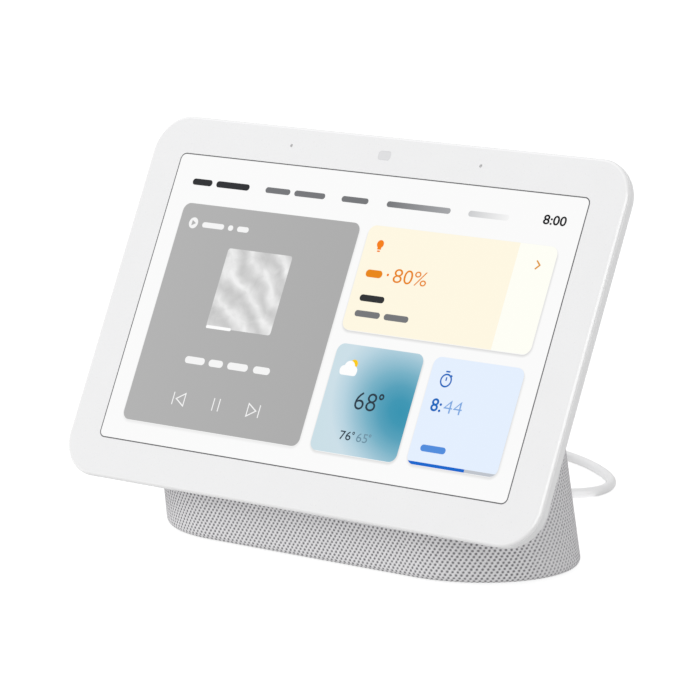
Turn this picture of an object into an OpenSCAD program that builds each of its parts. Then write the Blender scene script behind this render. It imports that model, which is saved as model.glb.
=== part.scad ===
// Smart display: a glass-fronted head leaning back on a fabric-covered base,
// with a loudspeaker in the base, controls on the back of the head and a power cord.
// Origin: middle of the footprint on the table. +Z up, the screen faces -Y.

/* [Head] */
// Width of the head
head_w = 177.4; // [176:0.2:182]
// Height of the head, measured along its own face
head_h = 114.9; // [114:0.1:118]
// Thickness of the head, glass to back
head_t = 8.6; // [8.6:0.1:10]
// Corner radius of the head
head_r = 12; // [10:0.5:16]
// Lean of the head from upright, in degrees
head_tilt = 25.56; // [22:0.5:28]
// Height of the screen's middle above the table
screen_z = 68.9; // [68:0.1:72]
// How far the screen's middle lies in front of the footprint's middle
screen_forward = 10.2; // [9:0.1:12]

/* [Screen] */
// Width of the lit picture
screen_w = 152.8; // [140:0.1:155]
// Height of the lit picture
screen_h = 90.5; // [80:0.1:91]
// Thickness of the front glass
glass_t = 1.1; // [1:0.1:1.1]

/* [Base] */
// Half width of the base at the table
base_half_w = 70.8; // [68:0.1:74]
// Distance from the footprint's middle to the front of the base
base_front = 24.5; // [23:0.1:26]
// Distance from the footprint's middle to the back of the base
base_back = 35.2; // [34:0.1:36]
// Forward lean of the base's front, mm for each mm of height
front_lean = 0.113; // [0.1:0.01:0.14]
// Forward lean of the base's back, mm for each mm of height
back_lean = 0.264; // [0.24:0.01:0.3]
// Thickness of the fabric cover
fabric_t = 0.9; // [0.6:0.1:1]
// Thickness of the base's plastic shell
shell_t = 2.2; // [1.8:0.1:2.4]

/* [Controls] */
// Length of the volume rocker
rocker_l = 30; // [26:0.5:32]
// Width of the volume rocker
rocker_w = 5.2; // [4.8:0.1:5.4]
// Travel of the microphone switch to each side
slider_travel = 1.2; // [1:0.1:1.4]

/* [Loudspeaker] */
// Diameter of the loudspeaker's mounting flange
driver_d = 46; // [44:0.5:46]
// Height of the loudspeaker's middle above the table
driver_z = 42; // [42:0.5:43]

/* [Cord] */
// Diameter of the power cord
cord_d = 3.2; // [3:0.1:3.4]
// Side length of the wall adapter
adapter_w = 46; // [44:0.5:46]
// Depth of the wall adapter without its blades
adapter_t = 27; // [26:0.5:28]

/* [Hidden] */

small = 0.01;       // thickness of a slice inside a hull
far = 300;          // longer than anything in the object

// Depths inside the head, measured back from the front of the glass
mask_t = 0.15;
lcd_t = 1.3;
backlight_t = 1.5;
tray_t = 0.4;
spreader_t = 0.3;
board_t = 0.8;
wall_t = 1.5;
lcd_front = glass_t + mask_t;
backlight_front = lcd_front + lcd_t;
tray_front = backlight_front + backlight_t;
spreader_front = tray_front + tray_t;
board_front = spreader_front + spreader_t + 0.2;
board_back = board_front + board_t;
wall_front = head_t - wall_t;

// Head outline and edges
rim_gap = 0.1;      // glass edge to housing edge
glass_round = 1;    // rounding of the glass's front edge
back_round = 7.45;  // rounding of the housing's back edge, nearly up to the glass
side_wall = 1.6;
lcd_w = screen_w + 3.2;
lcd_h = 98;
lcd_drop = 2.5;     // the cell hangs lower than the picture, for its connector ledge
board_w = 96;
board_h = 54;
board_drop = 16;
board_hole_x = 42;
board_hole_y = 21;
board_screw_r = 0.8;

// Sensor strip above the picture
sensor_y = 51.3;
sensor_w = 4.6;
sensor_h = 2.8;
mic_x = 35.5;
mic_r = 0.5;
mesh_r = 1.3;
strip_w = 80;
strip_h = 5;
strip_front = lcd_front + 0.6;

// Volume rocker on the back, near the right edge as seen from the front
rocker_x = 80.8;
rocker_y = 8;
rocker_proud = 0.6;
rocker_depth = 3.9;
rocker_gap = 0.4;
rocker_pin_r = 0.7;
rocker_pin_fit = 0.04;
rocker_axis = head_t - 2.1;      // depth of the pivot behind the glass
ear_t = 0.9;
ear_reach = rocker_w / 2 + rocker_gap + ear_t;   // rocker's middle to an ear's outer side
ear_y = 3.2;
button_board_front = 3.4;

// Microphone switch on the back, top middle
slider_y = 48.5;
slider_l = 6;
slider_w = 2.8;
slider_proud = 0.7;
slot_gap = 0.3;
flange_t = 0.7;
flange_over = 0.7;               // flange past the knob, up and down
switch_front = 2.9;
switch_t = 2;

// Neck
neck_drop = 26;
neck_w = 70;
neck_h = 26;
bracket_t = 1.5;
neck_slot_w = 24;
neck_slot_h = 5;
neck_screw_x = 28;
neck_screw_y = 9;
neck_screw_r = 1.25;
joint_gap = 0.1;                 // head's back to base shell
base_reach = head_t - 2;         // depth up to which the base follows the head's rounded edge
base_wall_back = head_t + joint_gap + 2.1;
bracket_back = base_wall_back + 0.1 + bracket_t;

// Base
base_top = 100;                  // height at which the loft ends, above the cut
end_rx = 32;                     // end rounding of the base's outline, across
hem_z = 0.3;                     // fabric hem above the table
plate_bottom = 0.8;
plate_top = 3;
shell_bottom = 3.1;
cover_edge = [[hem_z, 1.2], [0.6, 0.6], [1.2, 0.2], [2, 0], [base_top, 0]];
hem_w = 6;
foot_w = 122;
foot_d = 42;
foot_y = (base_back - base_front) / 2;
foot_t = 1.5;
post_x = 58;
post_y = 4;
post_r = 3;
post_top = 12;
base_screw_r = 1.2;
ballast_w = 96;
ballast_d = 23;
ballast_t = 5;
ballast_y = -6;

// Loudspeaker, in its own frame: origin on the shell's inner face, +Z out of the back
wall_lean = atan(back_lean);
driver_y = base_back - back_lean * driver_z - (fabric_t + shell_t + 0.2) / cos(wall_lean);
flange_h = 1.2;
flange_in_r = 20.4;
basket_r = 13.4;                 // basket's inside where it meets the motor
cone_r = 15.5;
cone_neck_r = 7;
paper_t = 0.4;
rim_z = -1.1;                    // cone's rim behind the flange's front
coil_r = 6.1;
coil_wall = 0.5;
pole_r = 5.85;
gap_r = 7;
motor_front = 9.5;
top_plate_t = 1.6;
magnet_t = 4;
back_plate_t = 1.6;
magnet_r = 12.5;
neck_front = 4.5;                // cone's neck behind the flange's front
enclosure_half_w = 38;
enclosure_wall = 1.8;
enclosure_low = -22;
enclosure_bend = 14;
enclosure_high = 26;
enclosure_deep = 21;
enclosure_shallow = 11;

// Power inlet and plug
jack_x = -24;
jack_z = 12;
jack_back = 26.8;
jack_w = 10;
jack_l = 12.5;
jack_h = 9.2;
barrel_r = 2.75;
barrel_fit = 0.05;
barrel_l = 9.5;
plug_r = 4.5;
plug_hole_r = 4.9;
plug_end = 46;
relief_end = 62;
board_low = 6.4;

// Power cord: points along its middle, from the plug's relief to the coil
lead_route = [
    [-24, 62, 12], [-24, 69, 11.4], [-22.5, 76, 9.4], [-19, 82, 6.6], [-13.5, 86.5, 4],
    [-6.5, 88.6, 2.3], [1, 89, 1.6], [8, 90, 1.6], [13, 93.3, 1.6], [15.6, 99.5, 1.6],
    [14.7, 106.5, 1.6], [11, 113.5, 1.6], [5, 119.8, 1.6], [-2, 125.4, 1.6], [-9.5, 130.4, 1.6],
    [-17.5, 134.6, 1.6], [-26, 137.9, 1.6], [-35, 139.4, 1.6], [-43, 139.7, 1.6], [-50, 139.7, 1.6],
];
// and from the coil to the adapter's relief
tail_route = [[-71, 118.5, 11.2], [-71, 111, 11.2], [-71, 103, 11.2]];
coil_at = [-50, 118.5];
coil_mid_r = 18;
coil_across = 3;                 // turns side by side
coil_layers = 4;                 // turns on top of each other
coil_in_r = coil_mid_r - coil_across * cord_d / 2;
coil_h = coil_layers * cord_d;
tie_angle = -50;
tie_w = 7;
tie_t = 0.8;
adapter_at = [-71, 66];
adapter_r = 10;
adapter_round = 4;
blade_pitch = 12.7;
blade_w = 6.3;
blade_t = 1.5;
blade_l = 17;

// Colours
white = [0.93, 0.93, 0.94];
bezel_white = [0.95, 0.95, 0.96];
fabric_grey = [0.76, 0.76, 0.77];
dark = [0.16, 0.16, 0.17];
board_green = [0.1, 0.32, 0.2];
steel = [0.66, 0.67, 0.69];
copper = [0.75, 0.45, 0.25];

// ---- shared shapes ----

// Puts children in the head's frame: X across, Y up the face, Z out of the glass
module on_head() {
    translate([0, -screen_forward, screen_z])
        rotate([90 - head_tilt, 0, 0])
            children();
}

// A layer of the head from depth d, t thick, lying behind the glass's front
module layer(d, t) {
    on_head()
        translate([0, 0, -d - t])
            linear_extrude(t)
                children();
}

module rounded_rect(w, h, r) {
    square([w - 2 * r, h], center = true);
    square([w, h - 2 * r], center = true);
    for (sx = [-1, 1], sy = [-1, 1])
        translate([sx * (w / 2 - r), sy * (h / 2 - r)])
            circle(r, $fn = 48);
}

// Rounded slab: each corner is a turned profile, given as [radius, height] points
module turned_slab(w, h, r, profile) {
    hull()
        for (sx = [-1, 1], sy = [-1, 1])
            translate([sx * (w / 2 - r), sy * (h / 2 - r), 0])
                rotate_extrude($fn = 64)
                    polygon(profile);
}

// Points of a quarter round about centre c, from angle a to b
function arc(c, r, a, b, steps) =
    [for (i = [0 : steps]) let (t = a + (b - a) * i / steps) [c[0] + r * cos(t), c[1] + r * sin(t)]];

// Puts children in the loudspeaker's frame, with Y up the back of the base
module on_driver() {
    translate([0, driver_y, driver_z])
        rotate([wall_lean - 90, 0, 0])
            rotate([0, 0, 180])
                children();
}

function base_front_at(z) = -base_front - front_lean * z;
function base_back_at(z) = base_back - back_lean * z;

// Solid form of the base; levels are [height, inset] pairs from bottom to top
module base_loft(levels) {
    hull()
        for (level = levels) {
            z = level[0];
            mid = (base_front_at(z) + base_back_at(z)) / 2;
            end_ry = (base_back_at(z) - base_front_at(z)) / 2;
            for (sx = [-1, 1])
                translate([sx * (base_half_w - end_rx), mid, z])
                    scale([end_rx - level[1], end_ry - level[1], 1])
                        cylinder(h = small, r = 1, $fn = 96);
        }
}

// Everything more than the given depth behind the glass's front
module behind(depth) {
    on_head()
        translate([-far, -far, -depth - 2 * far])
            cube([2 * far, 2 * far, 2 * far]);
}

// ---- head ----

module front_glass() {
    edge_r = head_r - rim_gap;
    profile = concat(
        [[0, -glass_t], [edge_r, -glass_t]],
        arc([edge_r - glass_round, -glass_round], glass_round, 0, 90, 6),
        [[0, 0]]
    );
    color(bezel_white)
        difference() {
            on_head()
                turned_slab(head_w - 2 * rim_gap, head_h - 2 * rim_gap, edge_r, profile);
            on_head()
                for (sx = [-1, 1])
                    translate([sx * mic_x, sensor_y, -glass_t - 1])
                        cylinder(h = glass_t + 2, r = mic_r, $fn = 24);
            layer(-1, glass_t + 2)
                translate([0, sensor_y])
                    rounded_rect(sensor_w, sensor_h, 1);
        }
}

module sensor_window() {
    color([0.82, 0.82, 0.84])
        layer(0, glass_t)
            translate([0, sensor_y])
                rounded_rect(sensor_w, sensor_h, 1);
}

module mic_meshes() {
    color(dark)
        for (sx = [-1, 1])
            layer(glass_t, mask_t)
                translate([sx * mic_x, sensor_y])
                    circle(mesh_r, $fn = 24);
}

module print_mask() {
    color("white")
        layer(glass_t, mask_t)
            difference() {
                rounded_rect(head_w - 4, head_h - 4, head_r - 2);
                rounded_rect(screen_w, screen_h, 1.8);
                for (sx = [-1, 1])
                    translate([sx * mic_x, sensor_y])
                        circle(mesh_r, $fn = 24);
                translate([0, sensor_y])
                    square([sensor_w, sensor_h], center = true);
            }
}

module lcd_panel() {
    color([0.12, 0.12, 0.14])
        layer(lcd_front, lcd_t)
            translate([0, -lcd_drop])
                square([lcd_w, lcd_h], center = true);
}

module backlight() {
    color([0.9, 0.9, 0.85])
        layer(backlight_front, backlight_t)
            translate([0, -lcd_drop])
                rounded_rect(lcd_w - 1, lcd_h - 2, 1);
}

module display_tray() {
    color(steel)
        layer(tray_front, tray_t)
            difference() {
                translate([0, -lcd_drop])
                    rounded_rect(lcd_w, lcd_h, 1.5);
                for (sx = [-1, 1])
                    translate([sx * 60, 20])
                        rounded_rect(16, 30, 3);
            }
}

module heat_spreader() {
    color([0.3, 0.3, 0.32])
        layer(spreader_front, spreader_t)
            translate([0, -board_drop])
                rounded_rect(board_w - 22, board_h - 8, 3);
}

module sensor_board() {
    color(board_green) {
        layer(strip_front, board_t)
            translate([0, sensor_y])
                rounded_rect(strip_w, strip_h, 1);
        for (x = [-mic_x, 0, mic_x])
            layer(lcd_front, 0.6)
                translate([x, sensor_y])
                    square([3.6, 2.8], center = true);
    }
}

module main_board() {
    color(board_green)
        layer(board_front, board_t)
            translate([0, -board_drop])
                difference() {
                    rounded_rect(board_w, board_h, 3);
                    for (sx = [-1, 1], sy = [-1, 1])
                        translate([sx * board_hole_x, sy * board_hole_y])
                            circle(1.1, $fn = 24);
                }
}

// Chips and connectors: [x, y, width, height] on the board's back
module board_chips() {
    chips = [
        [-30, -2, 9, 9], [-38, -22, 6, 10], [28, 0, 12, 8],
        [37, -22, 6, 6], [-8, -37, 18, 4], [12, -37, 10, 4],
    ];
    color(dark)
        for (c = chips)
            layer(board_back, 0.9)
                translate([c[0], c[1]])
                    square([c[2], c[3]], center = true);
}

module shield_can() {
    color(steel)
        layer(board_back, 0.95)
            translate([0, -6])
                rounded_rect(28, 20, 1);
}

module board_screws() {
    color(steel)
        on_head()
            for (sx = [-1, 1], sy = [-1, 1])
                translate([sx * board_hole_x, sy * board_hole_y - board_drop, -board_front])
                    union() {
                        translate([0, 0, -board_t - 0.8])
                            cylinder(h = board_t + 0.8, r = board_screw_r, $fn = 24);
                        cylinder(h = 0.4, r = 1.7, $fn = 24);
                    }
}

// Form of the housing, drawn in by the given inset and ending at a depth behind the glass
module housing_solid(inset, deep) {
    r = head_r - inset;
    turn = back_round - inset;
    profile = concat(
        [[0, -glass_t], [r, -glass_t]],
        arc([r - turn, -deep + turn], turn, 0, -90, 8),
        [[0, -deep]]
    );
    turned_slab(head_w - 2 * inset, head_h - 2 * inset, r, profile);
}

module head_housing() {
    color(white)
        difference() {
            union() {
                difference() {
                    on_head() housing_solid(0, head_t);
                    on_head() translate([0, 0, small]) housing_solid(side_wall, wall_front);
                }
                on_head() housing_posts();
            }
            on_head() housing_openings();
        }
}

// Posts for the board and the neck, and the rocker's two ears
module housing_posts() {
    for (sx = [-1, 1], sy = [-1, 1]) {
        translate([sx * board_hole_x, sy * board_hole_y - board_drop, -wall_front - 0.3])
            cylinder(h = wall_front - board_back + 0.3, r = 2.2, $fn = 32);
        translate([sx * neck_screw_x, sy * neck_screw_y - neck_drop, -wall_front - 0.3])
            cylinder(h = wall_front - board_back + 0.1, r = 2.6, $fn = 32);
    }
    for (sx = [-1, 1])
        translate([rocker_x + sx * (ear_reach - ear_t / 2), rocker_y, -wall_front - 0.3])
            translate([-ear_t / 2, -ear_y / 2, 0])
                cube([ear_t, ear_y, wall_front - rocker_axis + 2.2]);
}

module housing_openings() {
    // rocker opening and its pivot hole through both ears
    hole_w = rocker_w + 2 * rocker_gap;
    translate([rocker_x, rocker_y, -head_t - 1])
        linear_extrude(wall_t + 2)
            rounded_rect(hole_w, rocker_l + 2 * rocker_gap, hole_w / 2 - small);
    translate([rocker_x - ear_reach - small, rocker_y, -rocker_axis])
        rotate([0, 90, 0])
            cylinder(h = 2 * ear_reach + 2 * small, r = rocker_pin_r + rocker_pin_fit, $fn = 32);
    // slot of the microphone switch
    translate([0, slider_y, -head_t - 1])
        linear_extrude(wall_t + 2)
            rounded_rect(slider_l + 2 * slider_travel + 2 * slot_gap, slider_w + 2 * slot_gap, 1.6);
    // rear microphone port
    translate([14, slider_y, -head_t - 1])
        cylinder(h = wall_t + 2, r = mic_r, $fn = 24);
    // cable slot and screw holes of the neck
    translate([0, -neck_drop, -head_t - 1])
        linear_extrude(wall_t + 2)
            rounded_rect(neck_slot_w, neck_slot_h, 2);
    for (sx = [-1, 1], sy = [-1, 1]) {
        translate([sx * neck_screw_x, sy * neck_screw_y - neck_drop, -head_t - 1])
            cylinder(h = head_t - board_back + 0.7, r = neck_screw_r, $fn = 24);
        translate([sx * board_hole_x, sy * board_hole_y - board_drop, -board_back - 0.9])
            cylinder(h = 1.5, r = board_screw_r, $fn = 24);
    }
}

// Rocker: a bar with a pivot pin across its middle
module volume_rocker() {
    color(white)
        on_head() {
            translate([rocker_x, rocker_y, -head_t - rocker_proud])
                linear_extrude(rocker_depth)
                    rounded_rect(rocker_w, rocker_l, rocker_w / 2 - small);
            translate([rocker_x - ear_reach + rocker_gap, rocker_y, -rocker_axis])
                rotate([0, 90, 0])
                    cylinder(h = 2 * (ear_reach - rocker_gap), r = rocker_pin_r, $fn = 32);
        }
}

module button_board() {
    color(board_green)
        on_head() {
            translate([rocker_x, rocker_y, -button_board_front - board_t])
                linear_extrude(board_t)
                    rounded_rect(4.6, 34, 1);
            for (sy = [-1, 1])
                translate([rocker_x, rocker_y + sy * 11, -button_board_front - board_t - 0.5])
                    cylinder(h = 0.5, r = 1.8, $fn = 32);
        }
}

// Slider: ribbed knob outside the slot, flange inside and a tongue for the switch
module mic_slider() {
    color([0.95, 0.62, 0.4])
        on_head()
            translate([-slider_travel, slider_y, 0]) {
                difference() {
                    translate([0, 0, -head_t - slider_proud])
                        linear_extrude(slider_proud + wall_t + 0.1)
                            rounded_rect(slider_l, slider_w, 1.3);
                    for (x = [-1.5, 0, 1.5])
                        translate([x - 0.25, -slider_w, -head_t - slider_proud - 0.1])
                            cube([0.5, 2 * slider_w, 0.4]);
                }
                translate([0, 0, -wall_front + 0.1])
                    linear_extrude(flange_t)
                        rounded_rect(slider_l + 5, slider_w + 2 * flange_over, 1);
                translate([-0.6, -0.6, -wall_front + 0.1])
                    cube([1.2, 1.2, flange_t + 2]);
            }
}

module mic_switch() {
    color(dark)
        on_head()
            translate([0, slider_y, -switch_front - switch_t])
                difference() {
                    translate([-4.5, -1.9, 0])
                        cube([9, 3.8, switch_t]);
                    translate([-slider_travel - 0.9, -0.9, -1])
                        cube([2 * slider_travel + 1.8, 1.8, 2]);
                }
}

// ---- neck ----

module neck_plate_outline() {
    difference() {
        rounded_rect(neck_w, neck_h, 5);
        rounded_rect(neck_slot_w, neck_slot_h, 2);
        for (sx = [-1, 1], sy = [-1, 1])
            translate([sx * neck_screw_x, sy * neck_screw_y])
                circle(neck_screw_r, $fn = 24);
    }
}

module neck_bracket() {
    color(steel)
        layer(base_wall_back + 0.1, bracket_t)
            translate([0, -neck_drop])
                neck_plate_outline();
}

module bracket_screws() {
    color(steel)
        on_head()
            for (sx = [-1, 1], sy = [-1, 1])
                translate([sx * neck_screw_x, sy * neck_screw_y - neck_drop, -bracket_back])
                    union() {
                        cylinder(h = bracket_back - board_back - 0.6, r = neck_screw_r, $fn = 24);
                        translate([0, 0, -1.2])
                            cylinder(h = 1.2, r = 2.3, $fn = 24);
                    }
}

// Ribbon cable from the main board through the neck, down to the power board
module neck_flex() {
    color([0.8, 0.5, 0.2]) {
        layer(board_back + 0.9, bracket_back + 0.6 - board_back)
            translate([0, -neck_drop])
                square([16, 0.4], center = true);
        hull() {
            layer(bracket_back + 1.5, 0.2)
                translate([0, -neck_drop])
                    square([16, 0.4], center = true);
            translate([-22, -2, 13])
                cube([10, 0.4, small]);
        }
        hull() {
            translate([-22, -2, 13])
                cube([10, 0.4, small]);
            translate([-22, 7.2, board_low + 1.2])
                cube([10, 0.4, 0.2]);
        }
    }
}

// ---- base ----

module fabric_cover() {
    color(fabric_grey)
        difference() {
            intersection() {
                base_loft(cover_edge);
                behind(base_reach);
            }
            on_head() housing_solid(-joint_gap / 2, head_t + joint_gap / 2);
            base_loft([[plate_bottom, fabric_t], [base_top, fabric_t]]);
            translate([0, 0, -1])
                linear_extrude(plate_top)
                    base_outline(hem_w);
            plug_hole();
        }
}

module plug_hole() {
    translate([jack_x, jack_back, jack_z])
        rotate([-90, 0, 0])
            cylinder(h = 14, r = plug_hole_r, $fn = 48);
}

module base_shell() {
    gap = 0.05;
    inner = fabric_t + gap + shell_t;
    color([0.85, 0.85, 0.86])
        difference() {
            union() {
                difference() {
                    intersection() {
                        base_loft([[shell_bottom, fabric_t + gap], [base_top, fabric_t + gap]]);
                        behind(base_reach);
                    }
                    on_head() housing_solid(-joint_gap, head_t + joint_gap);
                    intersection() {
                        base_loft([[shell_bottom - 1, inner], [base_top, inner]]);
                        behind(base_wall_back);
                    }
                }
                shell_posts();
            }
            shell_openings();
        }
}

// Screw posts near the ends of the base, each tied to the wall by a rib
module shell_posts() {
    for (sx = [-1, 1]) {
        translate([sx * post_x, post_y, shell_bottom])
            cylinder(h = post_top - shell_bottom, r = post_r, $fn = 32);
        translate([sx < 0 ? -post_x - 11 : post_x, post_y - 1, shell_bottom])
            cube([11, 2, post_top - shell_bottom]);
    }
}

module shell_openings() {
    for (sx = [-1, 1])
        translate([sx * post_x, post_y, shell_bottom - 1])
            cylinder(h = 8, r = base_screw_r, $fn = 24);
    // sound outlet
    on_driver()
        translate([0, 0, -1])
            cylinder(h = 6, r = flange_in_r, $fn = 64);
    plug_hole();
    // neck
    layer(head_t - 1, 5)
        translate([0, -neck_drop])
            rounded_rect(neck_slot_w, neck_slot_h, 2);
    on_head()
        for (sx = [-1, 1], sy = [-1, 1])
            translate([sx * neck_screw_x, sy * neck_screw_y - neck_drop, -head_t - 5])
                cylinder(h = 6, r = neck_screw_r, $fn = 24);
}

// Outline of the base at the table, drawn in by the given inset
module base_outline(inset) {
    mid = (base_back - base_front) / 2;
    r = (base_back + base_front) / 2 - inset;
    translate([0, mid])
        rounded_rect(2 * (base_half_w - inset) - 2, 2 * r, r - small);
}

module bottom_plate() {
    color([0.9, 0.9, 0.91])
        difference() {
            union() {
                translate([0, 0, plate_bottom])
                    linear_extrude(plate_top - plate_bottom)
                        base_outline(fabric_t + 0.9);
                for (x = [jack_x - 9, jack_x + 9], y = [11, 24])
                    translate([x, y, plate_top - small])
                        cylinder(h = board_low - plate_top + small, r = 1.6, $fn = 24);
            }
            translate([0, foot_y, plate_bottom - 1])
                linear_extrude(1 + foot_t - plate_bottom)
                    rounded_rect(foot_w, foot_d, foot_d / 2 - small);
            for (sx = [-1, 1])
                translate([sx * post_x, post_y, 0])
                    cylinder(h = plate_top + 1, r = base_screw_r, $fn = 24);
        }
}

module base_screws() {
    color(steel)
        for (sx = [-1, 1])
            translate([sx * post_x, post_y, foot_t])
                cylinder(h = 8, r = base_screw_r, $fn = 24);
}

module rubber_foot() {
    color([0.62, 0.62, 0.63])
        translate([0, foot_y, 0])
            linear_extrude(foot_t)
                rounded_rect(foot_w, foot_d, foot_d / 2 - small);
}

module ballast() {
    color(steel)
        translate([0, ballast_y, plate_top])
            linear_extrude(ballast_t)
                rounded_rect(ballast_w, ballast_d, 4);
}

// ---- loudspeaker ----

// Side view of the enclosure, drawn in by the thickness of its wall for the hollow
module enclosure_side(wall) {
    polygon([
        [enclosure_low + wall, -flange_h - wall],
        [enclosure_high - wall, -flange_h - wall],
        [enclosure_high - wall, -enclosure_shallow + wall / 2],
        [enclosure_bend - wall / 2, -enclosure_deep + wall],
        [enclosure_low + wall, -enclosure_deep + wall],
    ]);
}

module enclosure_block(wall) {
    half = enclosure_half_w - wall;
    rotate([90, 0, 90])
        translate([0, 0, -half])
            linear_extrude(2 * half)
                enclosure_side(wall);
}

module speaker_enclosure() {
    color(dark)
        on_driver()
            difference() {
                enclosure_block(0);
                enclosure_block(enclosure_wall);
                translate([0, 0, -flange_h - enclosure_wall - 1])
                    cylinder(h = 10, r = flange_in_r + 0.5, $fn = 64);
            }
}

// Flange, sloping wall with four windows, and the ring that carries the motor
module speaker_basket() {
    r = driver_d / 2;
    color(steel)
        on_driver()
            difference() {
                rotate_extrude($fn = 64)
                    polygon([
                        [flange_in_r, 0], [r, 0], [r, -flange_h], [flange_in_r + 0.2, -flange_h],
                        [basket_r + 1, -motor_front + 1], [basket_r + 1, -motor_front],
                        [gap_r + 1.5, -motor_front], [gap_r + 1.5, -motor_front + 0.8],
                        [basket_r, -motor_front + 1], [flange_in_r - 1.2, -flange_h],
                        [flange_in_r - 1.2, -0.7], [flange_in_r, -0.7],
                    ]);
                for (a = [45 : 90 : 315])
                    rotate([0, 0, a])
                        translate([basket_r - 3, 0, -motor_front / 2 - 0.4])
                            rotate([0, 90, 0])
                                cylinder(h = 20, r = 2.8, $fn = 32);
            }
}

module speaker_magnet() {
    color([0.2, 0.2, 0.22])
        on_driver()
            translate([0, 0, -motor_front - top_plate_t - magnet_t])
                difference() {
                    cylinder(h = magnet_t, r = magnet_r, $fn = 64);
                    translate([0, 0, -1])
                        cylinder(h = magnet_t + 2, r = 8.5, $fn = 48);
                }
}

// Top plate round the gap, back plate and the pole in the middle
module speaker_plates() {
    color(steel)
        on_driver() {
            translate([0, 0, -motor_front - top_plate_t])
                difference() {
                    cylinder(h = top_plate_t, r = magnet_r - 0.4, $fn = 64);
                    translate([0, 0, -1])
                        cylinder(h = top_plate_t + 2, r = gap_r, $fn = 48);
                }
            translate([0, 0, -motor_front - top_plate_t - magnet_t - back_plate_t])
                union() {
                    cylinder(h = back_plate_t, r = magnet_r - 0.4, $fn = 64);
                    cylinder(h = back_plate_t + magnet_t + top_plate_t, r = pole_r, $fn = 48);
                }
        }
}

module voice_coil() {
    color(copper)
        on_driver()
            translate([0, 0, -motor_front - 2.5])
                difference() {
                    cylinder(h = motor_front + 2.2 - neck_front, r = coil_r + coil_wall, $fn = 48);
                    translate([0, 0, -1])
                        cylinder(h = motor_front + 2, r = coil_r, $fn = 48);
                }
}

// Corrugated ring that centres the voice coil
module spider() {
    start = coil_r + coil_wall + 0.15;
    color([0.75, 0.6, 0.3])
        on_driver()
            translate([0, 0, -motor_front + 1.6])
                rotate_extrude($fn = 64)
                    polygon(concat(
                        [for (i = [0 : 8]) [start + i * 0.8, i % 2 == 0 ? 0 : 0.5]],
                        [for (i = [8 : -1 : 0]) [start + i * 0.8, (i % 2 == 0 ? 0 : 0.5) + 0.3]]
                    ));
}

module speaker_cone() {
    deep = -neck_front;
    color([0.18, 0.18, 0.19])
        on_driver()
            rotate_extrude($fn = 64)
                polygon([
                    [coil_r, deep - 0.3], [cone_neck_r, deep - 0.3],
                    [cone_r, rim_z - 0.2], [cone_r, rim_z + 0.2],
                    [cone_r - paper_t, rim_z + 0.2], [cone_neck_r - 0.2, deep + 0.3],
                    [coil_r, deep + 0.3],
                ]);
}

module dust_cap() {
    cap_r = 7.6;
    color(dark)
        on_driver()
            translate([0, 0, -neck_front + 0.7])
                rotate_extrude($fn = 48)
                    polygon(concat(
                        [for (i = [0 : 6]) [cap_r * cos(i * 15), 2.2 * sin(i * 15)]],
                        [[0, 1.8]],
                        [for (i = [5 : -1 : 1]) [(cap_r - 0.4) * cos(i * 15), 1.8 * sin(i * 15)]],
                        [[cap_r - 0.4, 0]]
                    ));
}

// Half roll between the cone's edge and the flange
module surround() {
    mid = (cone_r + 0.15 + 19.1) / 2;
    half = (19.1 - cone_r - 0.15) / 2;
    thin = half - 0.4;
    color(dark)
        on_driver()
            translate([0, 0, rim_z])
                rotate_extrude($fn = 64)
                    polygon(concat(
                        [for (i = [0 : 12]) [mid + half * cos(i * 15), half * sin(i * 15)]],
                        [for (i = [12 : -1 : 0]) [mid + thin * cos(i * 15), thin * sin(i * 15)]]
                    ));
}

// Two leads from the enclosure down to the power board
module speaker_wires() {
    for (i = [0, 1])
        color(i == 0 ? "red" : "black")
            hull() {
                translate([-34 + 2 * i, 8, board_low + 1.2])
                    cylinder(h = 1, r = 0.6, $fn = 12);
                translate([-34 + 2 * i, 8, 15.6])
                    cylinder(h = small, r = 0.6, $fn = 12);
            }
}

// ---- power inlet ----

module power_board() {
    color(board_green)
        translate([jack_x - 12, 7, board_low])
            cube([24, 19.5, 1.2]);
}

module dc_jack() {
    color(dark)
        difference() {
            translate([jack_x - jack_w / 2, jack_back - jack_l, board_low + 1.2])
                cube([jack_w, jack_l, jack_h]);
            translate([jack_x, jack_back - barrel_l - 0.5, jack_z])
                rotate([-90, 0, 0])
                    cylinder(h = barrel_l + 2, r = barrel_r + barrel_fit, $fn = 48);
        }
}

// ---- plug, cord and adapter ----

module plug_pin() {
    color(steel)
        translate([jack_x, jack_back - barrel_l + 0.3, jack_z])
            rotate([-90, 0, 0])
                difference() {
                    cylinder(h = barrel_l + 3, r = barrel_r, $fn = 48);
                    translate([0, 0, -1])
                        cylinder(h = 8, r = 1.2, $fn = 32);
                }
}

// Overmoulded grip with a tapered, ringed strain relief, turned along the cord
module dc_plug() {
    cord_r = cord_d / 2;
    start = jack_back + 0.4;
    taper = (3 - cord_r - 0.3) / (relief_end - plug_end);
    rings = [for (i = [0 : 3]) plug_end + 2.5 + 3 * i];
    groove = [0, 0.4, 0.4, 0];
    along_ring = [0, 0.1, 1.1, 1.2];
    color(white)
        translate([jack_x, 0, jack_z])
            rotate([-90, 0, 0])
                difference() {
                    rotate_extrude($fn = 48)
                        polygon(concat(
                            [[0, start], [plug_r, start], [plug_r, plug_end - 1]],
                            [[plug_r - 1, plug_end], [3, plug_end]],
                            [for (y = rings, k = [0 : 3])
                                [3 - taper * (y - plug_end) - groove[k], y + along_ring[k]]],
                            [[cord_r + 0.3, relief_end], [0, relief_end]]
                        ));
                    translate([0, 0, start - 1])
                        cylinder(h = 3.5, r = barrel_r, $fn = 48);
                }
}

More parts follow.
